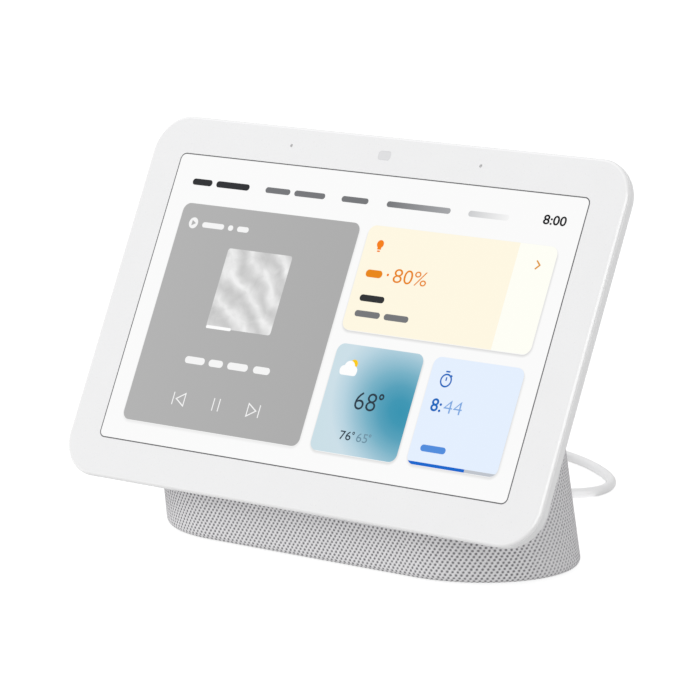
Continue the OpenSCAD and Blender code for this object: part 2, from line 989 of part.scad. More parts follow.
function unit(v) = v / norm(v);
function along(path, i) =
    unit(path[min(i + 1, len(path) - 1)] - path[max(i - 1, 0)]);
function ring(path, i, r, sides) =
    let (t = along(path, i), side = unit(cross(t, [0, 0, 1])), up = cross(side, t))
    [for (k = [0 : sides - 1])
        let (a = 360 * (k + 0.5) / sides)
        path[i] + r * (cos(a) * side + sin(a) * up)];

// Round cord swept along the points of a path
module swept(path, r, sides) {
    last = len(path) - 1;
    points = [for (i = [0 : last]) each ring(path, i, r, sides)];
    walls = [for (i = [0 : last - 1], k = [0 : sides - 1])
        [i * sides + k, i * sides + (k + 1) % sides, (i + 1) * sides + (k + 1) % sides, (i + 1) * sides + k]];
    ends = [[for (k = [sides - 1 : -1 : 0]) k], [for (k = [0 : sides - 1]) last * sides + k]];
    polyhedron(points, concat(walls, ends));
}

module cord_lead() {
    color(white) swept(lead_route, cord_d / 2, 8);
}

module cord_tail() {
    color(white) swept(tail_route, cord_d / 2, 8);
}

module cord_coil() {
    color(white)
        translate([coil_at[0], coil_at[1], 0])
            rotate_extrude($fn = 64)
                translate([coil_in_r, 0])
                    square([coil_across * cord_d, coil_h]);
}

module cord_tie() {
    across = coil_across * cord_d;
    color([0.8, 0.8, 0.81])
        translate([coil_at[0], coil_at[1], 0])
            rotate([0, 0, tie_angle])
                difference() {
                    translate([coil_in_r - tie_t, -tie_w / 2, 0])
                        cube([across + 2 * tie_t, tie_w, coil_h + tie_t]);
                    translate([coil_in_r, -tie_w, tie_t])
                        cube([across, 2 * tie_w, coil_h - tie_t]);
                }
}

module adapter_relief() {
    face = adapter_at[1] + adapter_w / 2;
    color(white)
        translate([adapter_at[0], face, tail_route[0][2]])
            rotate([-90, 0, 0])
                cylinder(h = 103 - face, r1 = 3.2, r2 = cord_d / 2 + 0.3, $fn = 32);
}

module adapter_body() {
    profile = concat(
        [[0, 0]],
        arc([adapter_r - adapter_round, adapter_round], adapter_round, -90, 0, 5),
        arc([adapter_r - adapter_round, adapter_t - adapter_round], adapter_round, 0, 90, 5),
        [[0, adapter_t]]
    );
    color(white)
        translate([adapter_at[0], adapter_at[1], 0])
            turned_slab(adapter_w, adapter_w, adapter_r, profile);
}

module adapter_blades() {
    color(steel)
        for (sx = [-1, 1])
            translate([adapter_at[0] + sx * blade_pitch / 2 - blade_t / 2, adapter_at[1], adapter_t])
                difference() {
                    translate([0, -blade_w / 2, 0])
                        cube([blade_t, blade_w, blade_l]);
                    translate([-1, 0, blade_l - 4])
                        rotate([0, 90, 0])
                            cylinder(h = blade_t + 2, r = 1.5, $fn = 24);
                }
}

front_glass();
sensor_window();
mic_meshes();
print_mask();
lcd_panel();
backlight();
display_tray();
heat_spreader();
sensor_board();
main_board();
board_chips();
shield_can();
board_screws();
head_housing();
volume_rocker();
button_board();
mic_slider();
mic_switch();
neck_bracket();
bracket_screws();
neck_flex();
base_shell();
fabric_cover();
bottom_plate();
base_screws();
rubber_foot();
ballast();
speaker_enclosure();
speaker_basket();
speaker_magnet();
speaker_plates();
voice_coil();
spider();
speaker_cone();
dust_cap();
surround();
speaker_wires();
power_board();
dc_jack();
plug_pin();
dc_plug();
cord_lead();
cord_coil();
cord_tail();
cord_tie();
adapter_relief();
adapter_body();
adapter_blades();
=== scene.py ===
"""Looks of a smart display: a framed screen on a fabric-covered loudspeaker base, with its power cord."""

import math

import bmesh
import bpy
from mathutils import Matrix, Vector


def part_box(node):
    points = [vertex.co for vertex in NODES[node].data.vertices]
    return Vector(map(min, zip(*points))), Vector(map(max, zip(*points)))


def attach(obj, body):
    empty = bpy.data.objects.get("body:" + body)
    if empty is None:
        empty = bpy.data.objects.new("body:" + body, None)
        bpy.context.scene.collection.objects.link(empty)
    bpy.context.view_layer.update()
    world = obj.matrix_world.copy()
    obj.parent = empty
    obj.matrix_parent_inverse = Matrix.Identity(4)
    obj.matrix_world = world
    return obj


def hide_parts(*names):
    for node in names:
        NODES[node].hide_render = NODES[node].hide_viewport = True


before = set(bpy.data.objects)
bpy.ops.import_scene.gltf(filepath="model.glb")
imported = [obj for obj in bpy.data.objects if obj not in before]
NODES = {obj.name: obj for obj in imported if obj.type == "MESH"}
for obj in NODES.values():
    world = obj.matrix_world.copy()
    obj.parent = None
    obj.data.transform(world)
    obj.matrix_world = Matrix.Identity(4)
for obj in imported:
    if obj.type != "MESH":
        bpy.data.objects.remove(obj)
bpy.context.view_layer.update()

MM = 0.001
FROM_MM = Matrix.Scale(MM, 4)
scene = bpy.context.scene


# ---- places, taken from the CAD frame ----

def head_frame():
    """Matrix of the head: origin in the middle of the glass's front, X right, Y up the glass, Z out of it."""
    mesh = NODES["front_glass"].data
    front = max((p for p in mesh.polygons if p.normal.y < -0.5), key=lambda p: p.area)
    out = front.normal.normalized()
    across = Vector((1, 0, 0))
    up = out.cross(across).normalized()
    heights = [v.co.dot(up) for v in mesh.vertices]
    level = mesh.vertices[front.vertices[0]].co.dot(out)
    middle = up * (min(heights) + max(heights)) / 2 + out * level
    matrix = Matrix((across, up, out)).transposed().to_4x4()
    matrix.translation = middle
    return matrix


HEAD = head_frame()
HEAD_BACK = HEAD.inverted()


def head_box(node):
    """Lowest corner, highest corner and middle of a CAD node in the head's frame, in mm."""
    points = [HEAD_BACK @ v.co / MM for v in NODES[node].data.vertices]
    low = Vector([min(p[i] for p in points) for i in range(3)])
    high = Vector([max(p[i] for p in points) for i in range(3)])
    return low, high, (low + high) / 2


GLASS_LOW, GLASS_HIGH, _ = head_box("front_glass")
CASE_LOW, CASE_HIGH, _ = head_box("head_housing")
GLASS_T = -GLASS_LOW.z
HEAD_T = -CASE_LOW.z
SCREEN_W = 152.8
SCREEN_H = 90.5


# ---- camera ----

VIEW_AZIMUTH = math.radians(38.89)
VIEW_ELEVATION = math.radians(10.367)
VIEW_DISTANCE = 1.220546
VIEW_RIGHT = 0.00376
VIEW_UP = -0.008518
LENS_MM = 215.06


def placed(name, data):
    """New object in the scene."""
    obj = bpy.data.objects.new(name, data)
    scene.collection.objects.link(obj)
    return obj


def blend(start, end, share):
    return tuple(a + (b - a) * share for a, b in zip(start, end))


def add_camera():
    sin_a, cos_a = math.sin(VIEW_AZIMUTH), math.cos(VIEW_AZIMUTH)
    sin_e, cos_e = math.sin(VIEW_ELEVATION), math.cos(VIEW_ELEVATION)
    back = Vector((sin_a * cos_e, -cos_a * cos_e, sin_e))
    right = Vector((cos_a, sin_a, 0))
    up = back.cross(right)
    camera = placed("camera", bpy.data.cameras.new("camera"))
    camera.data.lens = LENS_MM
    camera.data.sensor_width = 36
    camera.data.clip_start = 0.05
    camera.data.clip_end = 60
    camera.location = HEAD.translation + right * VIEW_RIGHT + up * VIEW_UP + back * VIEW_DISTANCE
    camera.rotation_mode = "QUATERNION"
    camera.rotation_quaternion = Matrix((right, up, back)).transposed().to_quaternion()
    scene.camera = camera


add_camera()


# ---- materials ----

def linear(value):
    """Linear light of an sRGB value from 0 to 255."""
    share = value / 255
    return share / 12.92 if share <= 0.04045 else ((share + 0.055) / 1.055) ** 2.4


def rgb(*values):
    return tuple(linear(v) for v in values)


def glow(*values):
    """Light of a picture colour, less the part that the glass adds by reflection."""
    return tuple(max(0.0, linear(v) - GLASS_VEIL) for v in values)


class Paint:
    """A material or world under construction, with short calls for its nodes."""

    def __init__(self, name, world=None):
        self.material = world or bpy.data.materials.new(name)
        self.material.use_nodes = True
        self.tree = self.material.node_tree
        self.shader = self.tree.nodes["Background" if world else "Principled BSDF"]

    def put(self, socket, value):
        """Links an output, or sets a plain value."""
        if isinstance(value, bpy.types.NodeSocket):
            self.tree.links.new(value, socket)
        else:
            socket.default_value = value

    def shade(self, **inputs):
        """Finished material, with its shader's inputs given by name."""
        for name, value in inputs.items():
            self.put(self.shader.inputs[name.replace("_", " ")], value)
        return self.material

    def node(self, kind, *values, **settings):
        """Outputs of a new node. values fill its inputs in order, and capitalised settings by name."""
        made = self.tree.nodes.new("ShaderNode" + kind)
        for key, value in settings.items():
            if key[0].isupper():
                self.put(made.inputs[key.replace("_", " ")], value)
            else:
                setattr(made, key, value)
        for socket, value in zip(made.inputs, values):
            self.put(socket, value)
        return made.outputs

    def place(self):
        return self.node("TexCoord")["Object"]

    def uv(self, name):
        return self.node("UVMap", uv_map=name)["UV"]

    def checks(self, vector, first, second, pitch):
        """Product of two sine waves of one pitch, along two axes of a vector."""
        axes, turn = self.node("SeparateXYZ", vector), 2 * math.pi / pitch
        return self.math("MULTIPLY", *[self.math("SINE", self.math("MULTIPLY", axes[i], turn))
                                       for i in (first, second)])

    def noise(self, vector, scale, detail=2.0, rough=0.5, distort=0.0):
        return self.node("TexNoise", Vector=vector, Scale=scale, Detail=detail, Roughness=rough,
                         Distortion=distort)["Fac"]

    def vector(self, operation, *values):
        return self.node("VectorMath", *values, operation=operation)[0]

    def math(self, operation, *values):
        return self.node("Math", *values, operation=operation)[0]

    def plus(self, value, part, share):
        """value + part * share."""
        return self.math("ADD", value, self.math("MULTIPLY", part, share))

    def stirred(self, value, noise, share):
        """value with a noise about 0.5 worked in."""
        return self.plus(value, self.math("SUBTRACT", noise, 0.5), share)

    def ranged(self, value, low, high, to_low, to_high):
        return self.node("MapRange", value, low, high, to_low, to_high)[0]

    def ramp(self, factor, stops):
        """stops are (position, colour) pairs."""
        made = self.tree.nodes.new("ShaderNodeValToRGB")
        elements = made.color_ramp.elements
        while len(elements) < len(stops):
            elements.new(0.5)
        for element, (position, colour) in zip(elements, stops):
            element.position = position
            element.color = (*colour, 1)
        self.put(made.inputs["Fac"], factor)
        return made.outputs["Color"]

    def bump(self, height, distance_mm, strength=1.0):
        return self.node("Bump", Distance=distance_mm * MM, Strength=strength, Height=height)["Normal"]


def tinted(colour, share):
    return tuple(min(1.0, c * share) for c in colour)


def moulded(colour, rough, grain_mm, depth_mm, vary=0.03, coat=0.0, coat_rough=0.1, specular=0.5, sheen=0.0):
    """Moulded, painted or cast surface: fine spark-eroded grain, slight unevenness in tone and gloss."""
    paint = Paint("moulded")
    place = paint.place()
    broad = paint.noise(place, 90, 3)
    fine = paint.noise(place, 1 / (grain_mm * MM), 2)
    return paint.shade(
        Base_Color=paint.ramp(broad, [(0.3, tinted(colour, 1 - vary)), (0.7, tinted(colour, 1 + vary))]),
        Roughness=paint.ranged(fine, 0.3, 0.7, rough * 0.9, min(1.0, rough * 1.1)),
        Normal=paint.bump(fine, depth_mm, 0.6),
        Coat_Weight=coat, Coat_Roughness=coat_rough, Specular_IOR_Level=specular, Sheen_Weight=sheen)


def glazed(colour, rough, grain_mm, vary):
    """Clear glossy layer over a smooth surface."""
    return moulded(colour, rough, grain_mm, 0.001, vary, coat=1.0, coat_rough=0.03)


def brushed(colour, rough=0.32, along=(60, 2500, 2500)):
    """Rolled or brushed metal, with fine lines along one direction."""
    paint = Paint("brushed")
    place = paint.place()
    lines = paint.noise(paint.vector("MULTIPLY", place, along), 1, 3)
    stain = paint.noise(place, 120, 3)
    return paint.shade(
        Base_Color=paint.ramp(stain, [(0.3, tinted(colour, 0.9)), (0.7, tinted(colour, 1.08))]),
        Roughness=paint.ranged(lines, 0.3, 0.7, rough * 0.75, rough * 1.3),
        Normal=paint.bump(lines, 0.01, 0.5), Metallic=1.0)


def woven(colour, gap, pitch_mm, rough=0.85):
    """Plain weave cloth or wire mesh."""
    paint = Paint("woven")
    place = paint.place()
    fuzz = paint.noise(place, 3000, 2)
    total = paint.plus(paint.checks(place, 0, 2, pitch_mm * MM), fuzz, 0.5)
    return paint.shade(
        Base_Color=paint.ramp(paint.ranged(total, -0.6, 1.2, 0, 1), [(0.1, gap), (0.45, colour)]),
        Roughness=paint.ranged(fuzz, 0.3, 0.7, rough * 0.9, rough),
        Normal=paint.bump(total, 0.05, 0.8))


def circuit():
    """Green solder mask over copper tracks."""
    paint = Paint("circuit")
    place = paint.place()
    edges = paint.node("TexVoronoi", feature="DISTANCE_TO_EDGE", distance="MANHATTAN", Vector=place,
                       Scale=260)["Distance"]
    track = paint.ranged(edges, 0.05, 0.09, 1, 0)
    cloud = paint.noise(place, 200, 2)
    return paint.shade(
        Base_Color=paint.ramp(paint.plus(paint.math("MULTIPLY", track, 0.6), cloud, 0.3),
                              [(0.1, (0.012, 0.1, 0.045)), (0.7, (0.06, 0.3, 0.14))]),
        Roughness=paint.ranged(cloud, 0.3, 0.7, 0.28, 0.4),
        Normal=paint.bump(track, 0.03, 0.6), Coat_Weight=0.3)


def wound(colour):
    """Enamelled copper wire, wound."""
    paint = Paint("wound")
    rings = paint.node("TexWave", bands_direction="Z", Vector=paint.place(), Scale=1600,
                       Distortion=0.4)["Fac"]
    return paint.shade(
        Base_Color=paint.ramp(rings, [(0.1, tinted(colour, 0.45)), (0.6, colour)]),
        Roughness=paint.ranged(rings, 0, 1, 0.45, 0.25),
        Normal=paint.bump(rings, 0.05), Metallic=1.0)


def knit(around):
    """Light grey knitted cover: slanting rows of dark gaps between rounded loops of yarn.

    A whole number of loops goes around, a length in mm, so that the knit has no step where it closes.
    """
    paint = Paint("knitted_cover")
    uv = paint.uv("weave")
    wobble = paint.node("TexNoise", Vector=uv, Scale=0.35, Detail=1)["Color"]
    across, up, _ = paint.node("SeparateXYZ", paint.vector("MULTIPLY_ADD", wobble, (0.35, 0.35, 0), uv))

    def phase(turns_across, turns_up):
        whole = round(turns_across * around) / around
        return paint.plus(paint.math("MULTIPLY", across, 2 * math.pi * whole), up, 2 * math.pi * turns_up)

    one, two = phase(*KNIT_A), phase(*KNIT_B)
    wave_one, wave_two = paint.math("COSINE", one), paint.math("COSINE", two)
    gaps = paint.plus(paint.math("MULTIPLY", wave_one, 1.25), wave_two, 0.8)
    gaps = paint.plus(gaps, paint.math("COSINE", paint.math("SUBTRACT", one, two)), 0.4)
    fibre = paint.noise(paint.vector("MULTIPLY", uv, (9, 3.5, 1)), 1, 3, 0.6)
    # painted light: towards both ends of the base the knit's gaps are made shallower and their dark tone
    # fainter, standing in for the shade in the gaps that the raised loops hide where the cover curves round
    from_middle = paint.math("ABSOLUTE", paint.node("SeparateXYZ", paint.place())[0])
    kept = paint.ranged(from_middle, *KNIT_ENDS, 1.0, KNIT_END_DEPTH)
    depth = paint.math("SUBTRACT", paint.ranged(gaps, -1.2, 2.3, 0, 1), KNIT_MEAN_DEPTH)
    depth = paint.plus(KNIT_MEAN_DEPTH, depth, kept)
    uneven = paint.stirred(paint.stirred(depth, fibre, 0.35), paint.noise(uv, 0.9, 1), 0.3)
    return paint.shade(
        Base_Color=paint.ramp(uneven, [(position, rgb(*tone)) for position, tone in YARN]),
        Roughness=paint.ranged(fibre, 0.3, 0.7, 0.8, 0.95),
        Normal=paint.bump(paint.plus(paint.math("SUBTRACT", 1.0, uneven), wave_two, -0.22), 0.25, 0.85),
        Sheen_Weight=0.04, Sheen_Roughness=0.5, Specular_IOR_Level=0.2)


def lit(name, colour_of):
    """Picture behind glass: it gives its own light, with the cell's fine pixel rows."""
    paint = Paint(name)
    uv = paint.uv("picture")
    grid = paint.ranged(paint.checks(uv, 1, 0, PIXEL_MM), -1, 1, 0.985, 1.0)
    light = paint.vector("MULTIPLY", colour_of(paint, uv), grid)
    return paint.shade(Base_Color=(0, 0, 0, 1), Emission_Color=light, Emission_Strength=1.0,
                       Roughness=0.14, Specular_IOR_Level=0.12)


GLASS_VEIL = 0.012
KNIT_A = (0.63, -0.44)
KNIT_B = (0.62, 0.62)
# the knit's gaps fade between these distances from the middle to this share of their depth and dark tone:
# painted light on the ends
KNIT_ENDS = (66.5 * MM, 70.6 * MM)
KNIT_END_DEPTH = 0.5
KNIT_MEAN_DEPTH = 0.48
YARN = ((0.0, (239, 238, 240)), (0.38, (224, 223, 225)), (0.62, (180, 179, 182)), (0.84, (125, 124, 127)))
PIXEL_MM = 0.149
WHITE_PLASTIC = (0.875, 0.875, 0.88)


def named(name, material):
    material.name = name
    return material


# one finish for each material slot of the record
FINISH = {
    "bezel_glass": glazed((0.788, 0.788, 0.793), 0.3, 0.5, 0.006),
    "sensor_lens": glazed(rgb(213, 213, 215), 0.2, 0.5, 0.02),
    "mic_mesh": woven((0.66, 0.66, 0.66), (0.36, 0.36, 0.36), 0.2, 0.5),
    "white_print": moulded((0.82, 0.82, 0.82), 0.6, 0.2, 0.003),
    "lcd_glass": glazed((0.05, 0.05, 0.06), 0.12, 0.4, 0.05),
    "diffuser": moulded((0.85, 0.85, 0.8), 0.6, 0.25, 0.01),
    "tray_metal": brushed((0.72, 0.73, 0.75)),
    "graphite": moulded((0.06, 0.06, 0.065), 0.42, 0.2, 0.02, 0.12, specular=0.7),
    "circuit_board": circuit(),
    "chip_black": moulded((0.02, 0.02, 0.022), 0.5, 0.15, 0.02, 0.1),
    "screw_steel": brushed((0.62, 0.62, 0.63), 0.28, (900, 900, 900)),
    "white_plastic": moulded(WHITE_PLASTIC, 0.42, 0.3, 0.006, 0.01),
    "slider_plastic": moulded(WHITE_PLASTIC, 0.38, 0.3, 0.006, 0.01),
    "black_plastic": moulded((0.03, 0.03, 0.032), 0.5, 0.25, 0.03, 0.1),
    "bracket_steel": brushed((0.5, 0.51, 0.53), 0.36),
    "flex_film": moulded((0.55, 0.24, 0.04), 0.25, 0.6, 0.004, 0.12, coat=0.7),
    "shell_plastic": moulded((0.62, 0.62, 0.63), 0.5, 0.3, 0.02, 0.02),
    "grey_fabric": woven((0.5, 0.5, 0.51), (0.2, 0.2, 0.2), 1.1),
    "foot_rubber": moulded((0.3, 0.3, 0.305), 0.8, 0.4, 0.05, 0.06, specular=0.3),
    "magnet": moulded((0.035, 0.035, 0.04), 0.55, 0.3, 0.05, 0.15),
    "copper": wound((0.8, 0.38, 0.16)),
    "spider_cloth": woven((0.5, 0.3, 0.08), (0.12, 0.06, 0.01), 0.5),
    "cone_paper": moulded((0.025, 0.025, 0.028), 0.75, 0.5, 0.08, 0.25, sheen=0.2),
    "black_rubber": moulded((0.015, 0.015, 0.016), 0.6, 0.4, 0.02, 0.1),
    "wire_plastic": moulded((0.32, 0.02, 0.02), 0.4, 0.3, 0.02, 0.05),
    "cord_plastic": moulded((0.86, 0.86, 0.865), 0.42, 0.5, 0.01, 0.012),
    "tie_plastic": woven((0.62, 0.62, 0.63), (0.36, 0.36, 0.37), 0.6, 0.8),
}
for finish_name, finish in FINISH.items():
    finish.name = finish_name
for cad_node in NODES.values():
    slots = cad_node.data.materials
    for i, old in enumerate(list(slots)):
        slots[i] = FINISH[old.name.split(".")[0]]


# ---- mesh tools ----

def new_mesh(name, points, faces):
    mesh = bpy.data.meshes.new(name)
    mesh.from_pydata(points, [], faces)
    return mesh


def add_mesh(name, points, faces, slot, body="display", hides=None, smooth_below=40, matrix=Matrix()):
    """New piece from points in mm in the matrix's frame, shaded smooth except over sharp edges."""
    mesh = new_mesh(name, [tuple(p) for p in points], faces)
    mesh.transform(matrix @ FROM_MM)
    obj = placed(name, mesh)
    mesh.materials.append(FINISH[slot])
    shade(mesh, smooth_below)
    if hides:
        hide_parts(hides)
    if body:
        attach(obj, body)
    return obj


def shade(mesh, smooth_below):
    edit = bmesh.new()
    edit.from_mesh(mesh)
    limit = math.radians(smooth_below)
    for face in edit.faces:
        face.smooth = True
    for edge in edit.edges:
        edge.smooth = len(edge.link_faces) == 2 and edge.calc_face_angle(0) < limit
    edit.to_mesh(mesh)
    edit.free()


def rounded_rect(width, height, radius, steps=14, centre=(0, 0)):
    """Outline, anticlockwise."""
    points = []
    for sx, sy, start in ((1, 1, 0), (-1, 1, 90), (-1, -1, 180), (1, -1, 270)):
        for i in range(steps + 1):
            turn = math.radians(start + 90 * i / steps)
            points.append((centre[0] + sx * (width / 2 - radius) + radius * math.cos(turn),
                           centre[1] + sy * (height / 2 - radius) + radius * math.sin(turn)))
    return points


def bands(rows, count, closed=False):
    """Faces between rows of points, each a ring. closed joins the last row to the first."""
    faces = []
    for j in range(rows if closed else rows - 1):
        low, high = j * count, (j + 1) % rows * count
        faces += [(low + i, low + (i + 1) % count, high + (i + 1) % count, high + i) for i in range(count)]
    return faces


def caps(rows, count):
    """Faces that close the first and the last of the rows."""
    last = (rows - 1) * count
    return [tuple(reversed(range(count))), tuple(range(last, last + count))]


def slab(width, height, radius, profile, steps=14):
    """Points in mm and faces of a rounded slab. profile is (inset, height) pairs, and each gives one ring."""
    points = []
    for inset, z in profile:
        ring = rounded_rect(width - 2 * inset, height - 2 * inset, max(radius - inset, 0.02), steps)
        points += [(x, y, z) for x, y in ring]
    count = 4 * (steps + 1)
    return points, bands(len(profile), count) + caps(len(profile), count)


def quarter(inset, z, radius, start, end, steps):
    """Profile points of a rounded edge about (inset, z): angle 0 points outwards and 90 up."""
    made = []
    for i in range(steps + 1):
        turn = math.radians(start + (end - start) * i / steps)
        made.append((inset - radius * math.cos(turn), z + radius * math.sin(turn)))
    return made


def finished_mesh(obj):
    """New mesh of an object as its modifiers or its typeface leave it."""
    bpy.context.view_layer.update()
    return bpy.data.meshes.new_from_object(obj.evaluated_get(bpy.context.evaluated_depsgraph_get()))


def cut(obj, cutters):
    """Takes the cutters' space out of obj for good, and removes them."""
    for cutter in cutters:
        step = obj.modifiers.new("cut", "BOOLEAN")
        step.operation = "DIFFERENCE"
        step.solver = "EXACT"
        step.object = cutter
    done = finished_mesh(obj)
    done.name = obj.name
    obj.modifiers.clear()
    obj.data = done
    for cutter in cutters:
        bpy.data.objects.remove(cutter)


def cutter(outline, low, high, matrix):
    """Prism in mm over an outline, between two heights in the matrix's frame."""
    count = len(outline)
    points = [(x, y, z) for z in (low, high) for x, y in outline]
    mesh = new_mesh("cutter", points, caps(2, count) + bands(2, count))
    mesh.transform(matrix @ FROM_MM)
    return placed("cutter", mesh)


def circle(radius, count=32, centre=(0, 0)):
    turns = [2 * math.pi * i / count for i in range(count)]
    return [(centre[0] + radius * math.cos(turn), centre[1] + radius * math.sin(turn)) for turn in turns]


def weighted(obj):
    """Keeps flat faces flat in the shading of a rounded piece."""
    step = obj.modifiers.new("flat_faces", "WEIGHTED_NORMAL")
    step.keep_sharp = True
    step.weight = 100


def on_head(x, y):
    """Matrix of a place on the head, given in mm."""
    return HEAD @ Matrix.Translation(Vector((x, y, 0)) * MM)


# ---- power cord ----

CORD_D = 3.2
FROM_PLUG = [(-24, 60, 12), (-24, 62, 12), (-24, 69, 11.4), (-22.5, 76, 9.4), (-19, 82, 6.6),
             (-13.5, 86.5, 4), (-6.5, 88.6, 2.3)]
ON_TABLE = [(1, 89), (8, 90), (13, 93.3), (15.6, 99.5), (14.7, 106.5), (11, 113.5), (5, 119.8), (-2, 125.4),
            (-9.5, 130.4), (-17.5, 134.6), (-26, 137.9), (-35, 139.4), (-43, 139.7)]
TAIL = [(-71.1, 111, 11.2), (-71, 103, 11.2), (-71, 99, 11.2)]
COIL_X = -50
COIL_Y = 118.5
COIL_R = 18
COIL_LAYERS = 4
COIL_ACROSS = 3
COIL_START = 90
COIL_TURNS = 11.25
COIL_STEP = 10
COIL_SHIFT = 50


def smooth_path(points, spacing):
    """Smooth (Catmull-Rom) curve through points, as points about a spacing apart."""
    ends = [points[0]] + list(points) + [points[-1]]
    made = []
    for i in range(1, len(ends) - 2):
        p0, p1, p2, p3 = (Vector(p) for p in ends[i - 1:i + 3])
        count = max(2, round((p2 - p1).length / spacing))
        for k in range(count):
            t = k / count
            made.append(0.5 * (2 * p1 + (p2 - p0) * t + (2 * p0 - 5 * p1 + 4 * p2 - p3) * t ** 2
                               + (3 * p1 - p0 - 3 * p2 + p3) * t ** 3))
    made.append(Vector(points[-1]))
    return made


def coil_path():
    """Turns side by side and layer on layer, stepping across over COIL_SHIFT degrees of each turn."""
    def seat(turn):
        layer, place = divmod(min(turn, COIL_LAYERS * COIL_ACROSS - 1), COIL_ACROSS)
        from_outside = place if layer % 2 == 0 else COIL_ACROSS - 1 - place
        return COIL_R + (COIL_ACROSS - 1) / 2 * CORD_D - from_outside * CORD_D, CORD_D * (layer + 0.5)

    points = []
    for degrees in range(0, round(COIL_TURNS * 360) + 1, COIL_STEP):
        turn, into = divmod(degrees, 360)
        radius, height = seat(turn)
        if turn > 0 and into < COIL_SHIFT:
            before, share = seat(turn - 1), into / COIL_SHIFT
            radius, height = blend(before, (radius, height), share * share * (3 - 2 * share))
        angle = math.radians(COIL_START + degrees)
        points.append(Vector((COIL_X + radius * math.cos(angle), COIL_Y + radius * math.sin(angle), height)))
    return points


def add_cord():
    coil = coil_path()
    lead = smooth_path(FROM_PLUG + [(x, y, CORD_D / 2) for x, y in ON_TABLE] + [tuple(coil[0])], 2)
    tail = smooth_path([tuple(coil[-1])] + TAIL, 2)
    line = lead + coil[1:-1] + tail
    curve = bpy.data.curves.new("power_cord", "CURVE")
    curve.dimensions = "3D"
    curve.bevel_depth = CORD_D / 2 * MM
    curve.bevel_resolution = 5
    curve.use_fill_caps = True
    spline = curve.splines.new("POLY")
    spline.points.add(len(line) - 1)
    for point, place in zip(spline.points, line):
        point.co = (*(place * MM), 1)
    spline.use_smooth = True
    cord = placed("power_cord", curve)
    curve.materials.append(FINISH["cord_plastic"])
    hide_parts("cord_lead", "cord_coil", "cord_tail")
    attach(cord, "display")
    return cord


cord = add_cord()


# ---- wall adapter and the coil's tie ----


def add_adapter():
    """Rounded block in two mouldings with a fine parting line, standing on its face with the blades up."""
    low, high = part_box("adapter_body")
    size, middle = (high - low) / MM, (low + high) / 2
    edge, tall, seam, seam_deep, panel, panel_deep = 4.0, size.z, 19.0, 0.25, 11.4, 0.35
    profile = [(10.5, 0.25), (9.9, 0.0), (edge + 0.3, 0.0)]
    profile += quarter(edge, edge, edge, -90, 0, 8)
    profile += [(0, seam - 0.3), (seam_deep, seam - 0.12), (seam_deep, seam + 0.12), (0, seam + 0.3)]
    profile += quarter(edge, tall - edge, edge, 0, 90, 8)
    profile += [(edge + 0.3, tall), (panel, tall)] + [(panel + x, tall - panel_deep) for x in (0.4, 0.8)]
    points, faces = slab(size.x, size.y, 10, profile, 12)
    place = Matrix.Translation((middle.x, middle.y, low.z))
    body = add_mesh("adapter_case", points, faces, "white_plastic", hides="adapter_body", smooth_below=50,
                    matrix=place)
    weighted(body)
    return body


def add_tie():
    """Hook-and-loop strap round the coil's bundle."""
    angle = math.radians(-50)
    radial = Vector((math.cos(angle), math.sin(angle), 0))
    along = Vector((-math.sin(angle), math.cos(angle), 0))
    centre = Vector((COIL_X, COIL_Y, 0)) + radial * COIL_R
    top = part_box("cord_tie")[1].z / MM
    wide, thick, half = 7.0, 0.7, COIL_ACROSS * CORD_D / 2 + 0.75
    eased, lift = 0.12, 0.12
    outline = rounded_rect(2 * half, top - 0.02, 2.2, 6, (0, top / 2 + 0.01))
    inside = (2 * (half - thick), top - 0.04 - thick - lift)
    inner = rounded_rect(*inside, 1.5, 6, (0, (top - thick + lift) / 2 + 0.01))
    sides = (-wide / 2, -wide / 2 + 0.3, wide / 2 - 0.3, wide / 2)

    def ring(loop, side, ease):
        return [centre + radial * (x * (1 - ease / half)) + along * side + Vector((0, 0, z - ease * (z > 1)))
                for x, z in loop]

    rings = [ring(outline, side, eased if side in (sides[0], sides[-1]) else 0) for side in sides]
    rings += [ring(inner, side, 0) for side in reversed(sides)]
    faces = bands(len(rings), len(outline), closed=True)
    return add_mesh("coil_strap", sum(rings, []), faces, "tie_plastic", hides="cord_tie", smooth_below=45)


adapter = add_adapter()
strap = add_tie()


# ---- head ----

HEAD_R = 12.0
GLASS_ROUND = 1.0
BACK_ROUND = 7.45
WALL_T = 1.5
SIDE_WALL = 1.6
MIC_HOLE_R = 0.5
WINDOW_GAP = 0.02
THROUGH_GLASS = (-2, 1)
ROCKER_W = 5.2
ROCKER_GAP = 0.4
ROCKER_EDGE = 0.45
ROCKER_DISH = 0.12
KNOB_L = 6.0
KNOB_W = 2.8
KNOB_EDGE = 0.3
FLANGE_L = 11.0
SLOT_L = 9.0
REAR_MIC_X = 14.0


def mic_places():
    """Middles of the two microphone holes in the glass, in mm."""
    low, high, middle = head_box("mic_meshes")
    x = high.x - (high.y - low.y) / 2
    return [(side * x, middle.y) for side in (-1, 1)]


def pierce(obj, outlines, low, high, matrix=HEAD):
    """Cuts outlines in mm into a piece, between two heights in the matrix's frame."""
    cut(obj, [cutter(outline, low, high, matrix) for outline in outlines])
    shade(obj.data, 40)
    weighted(obj)


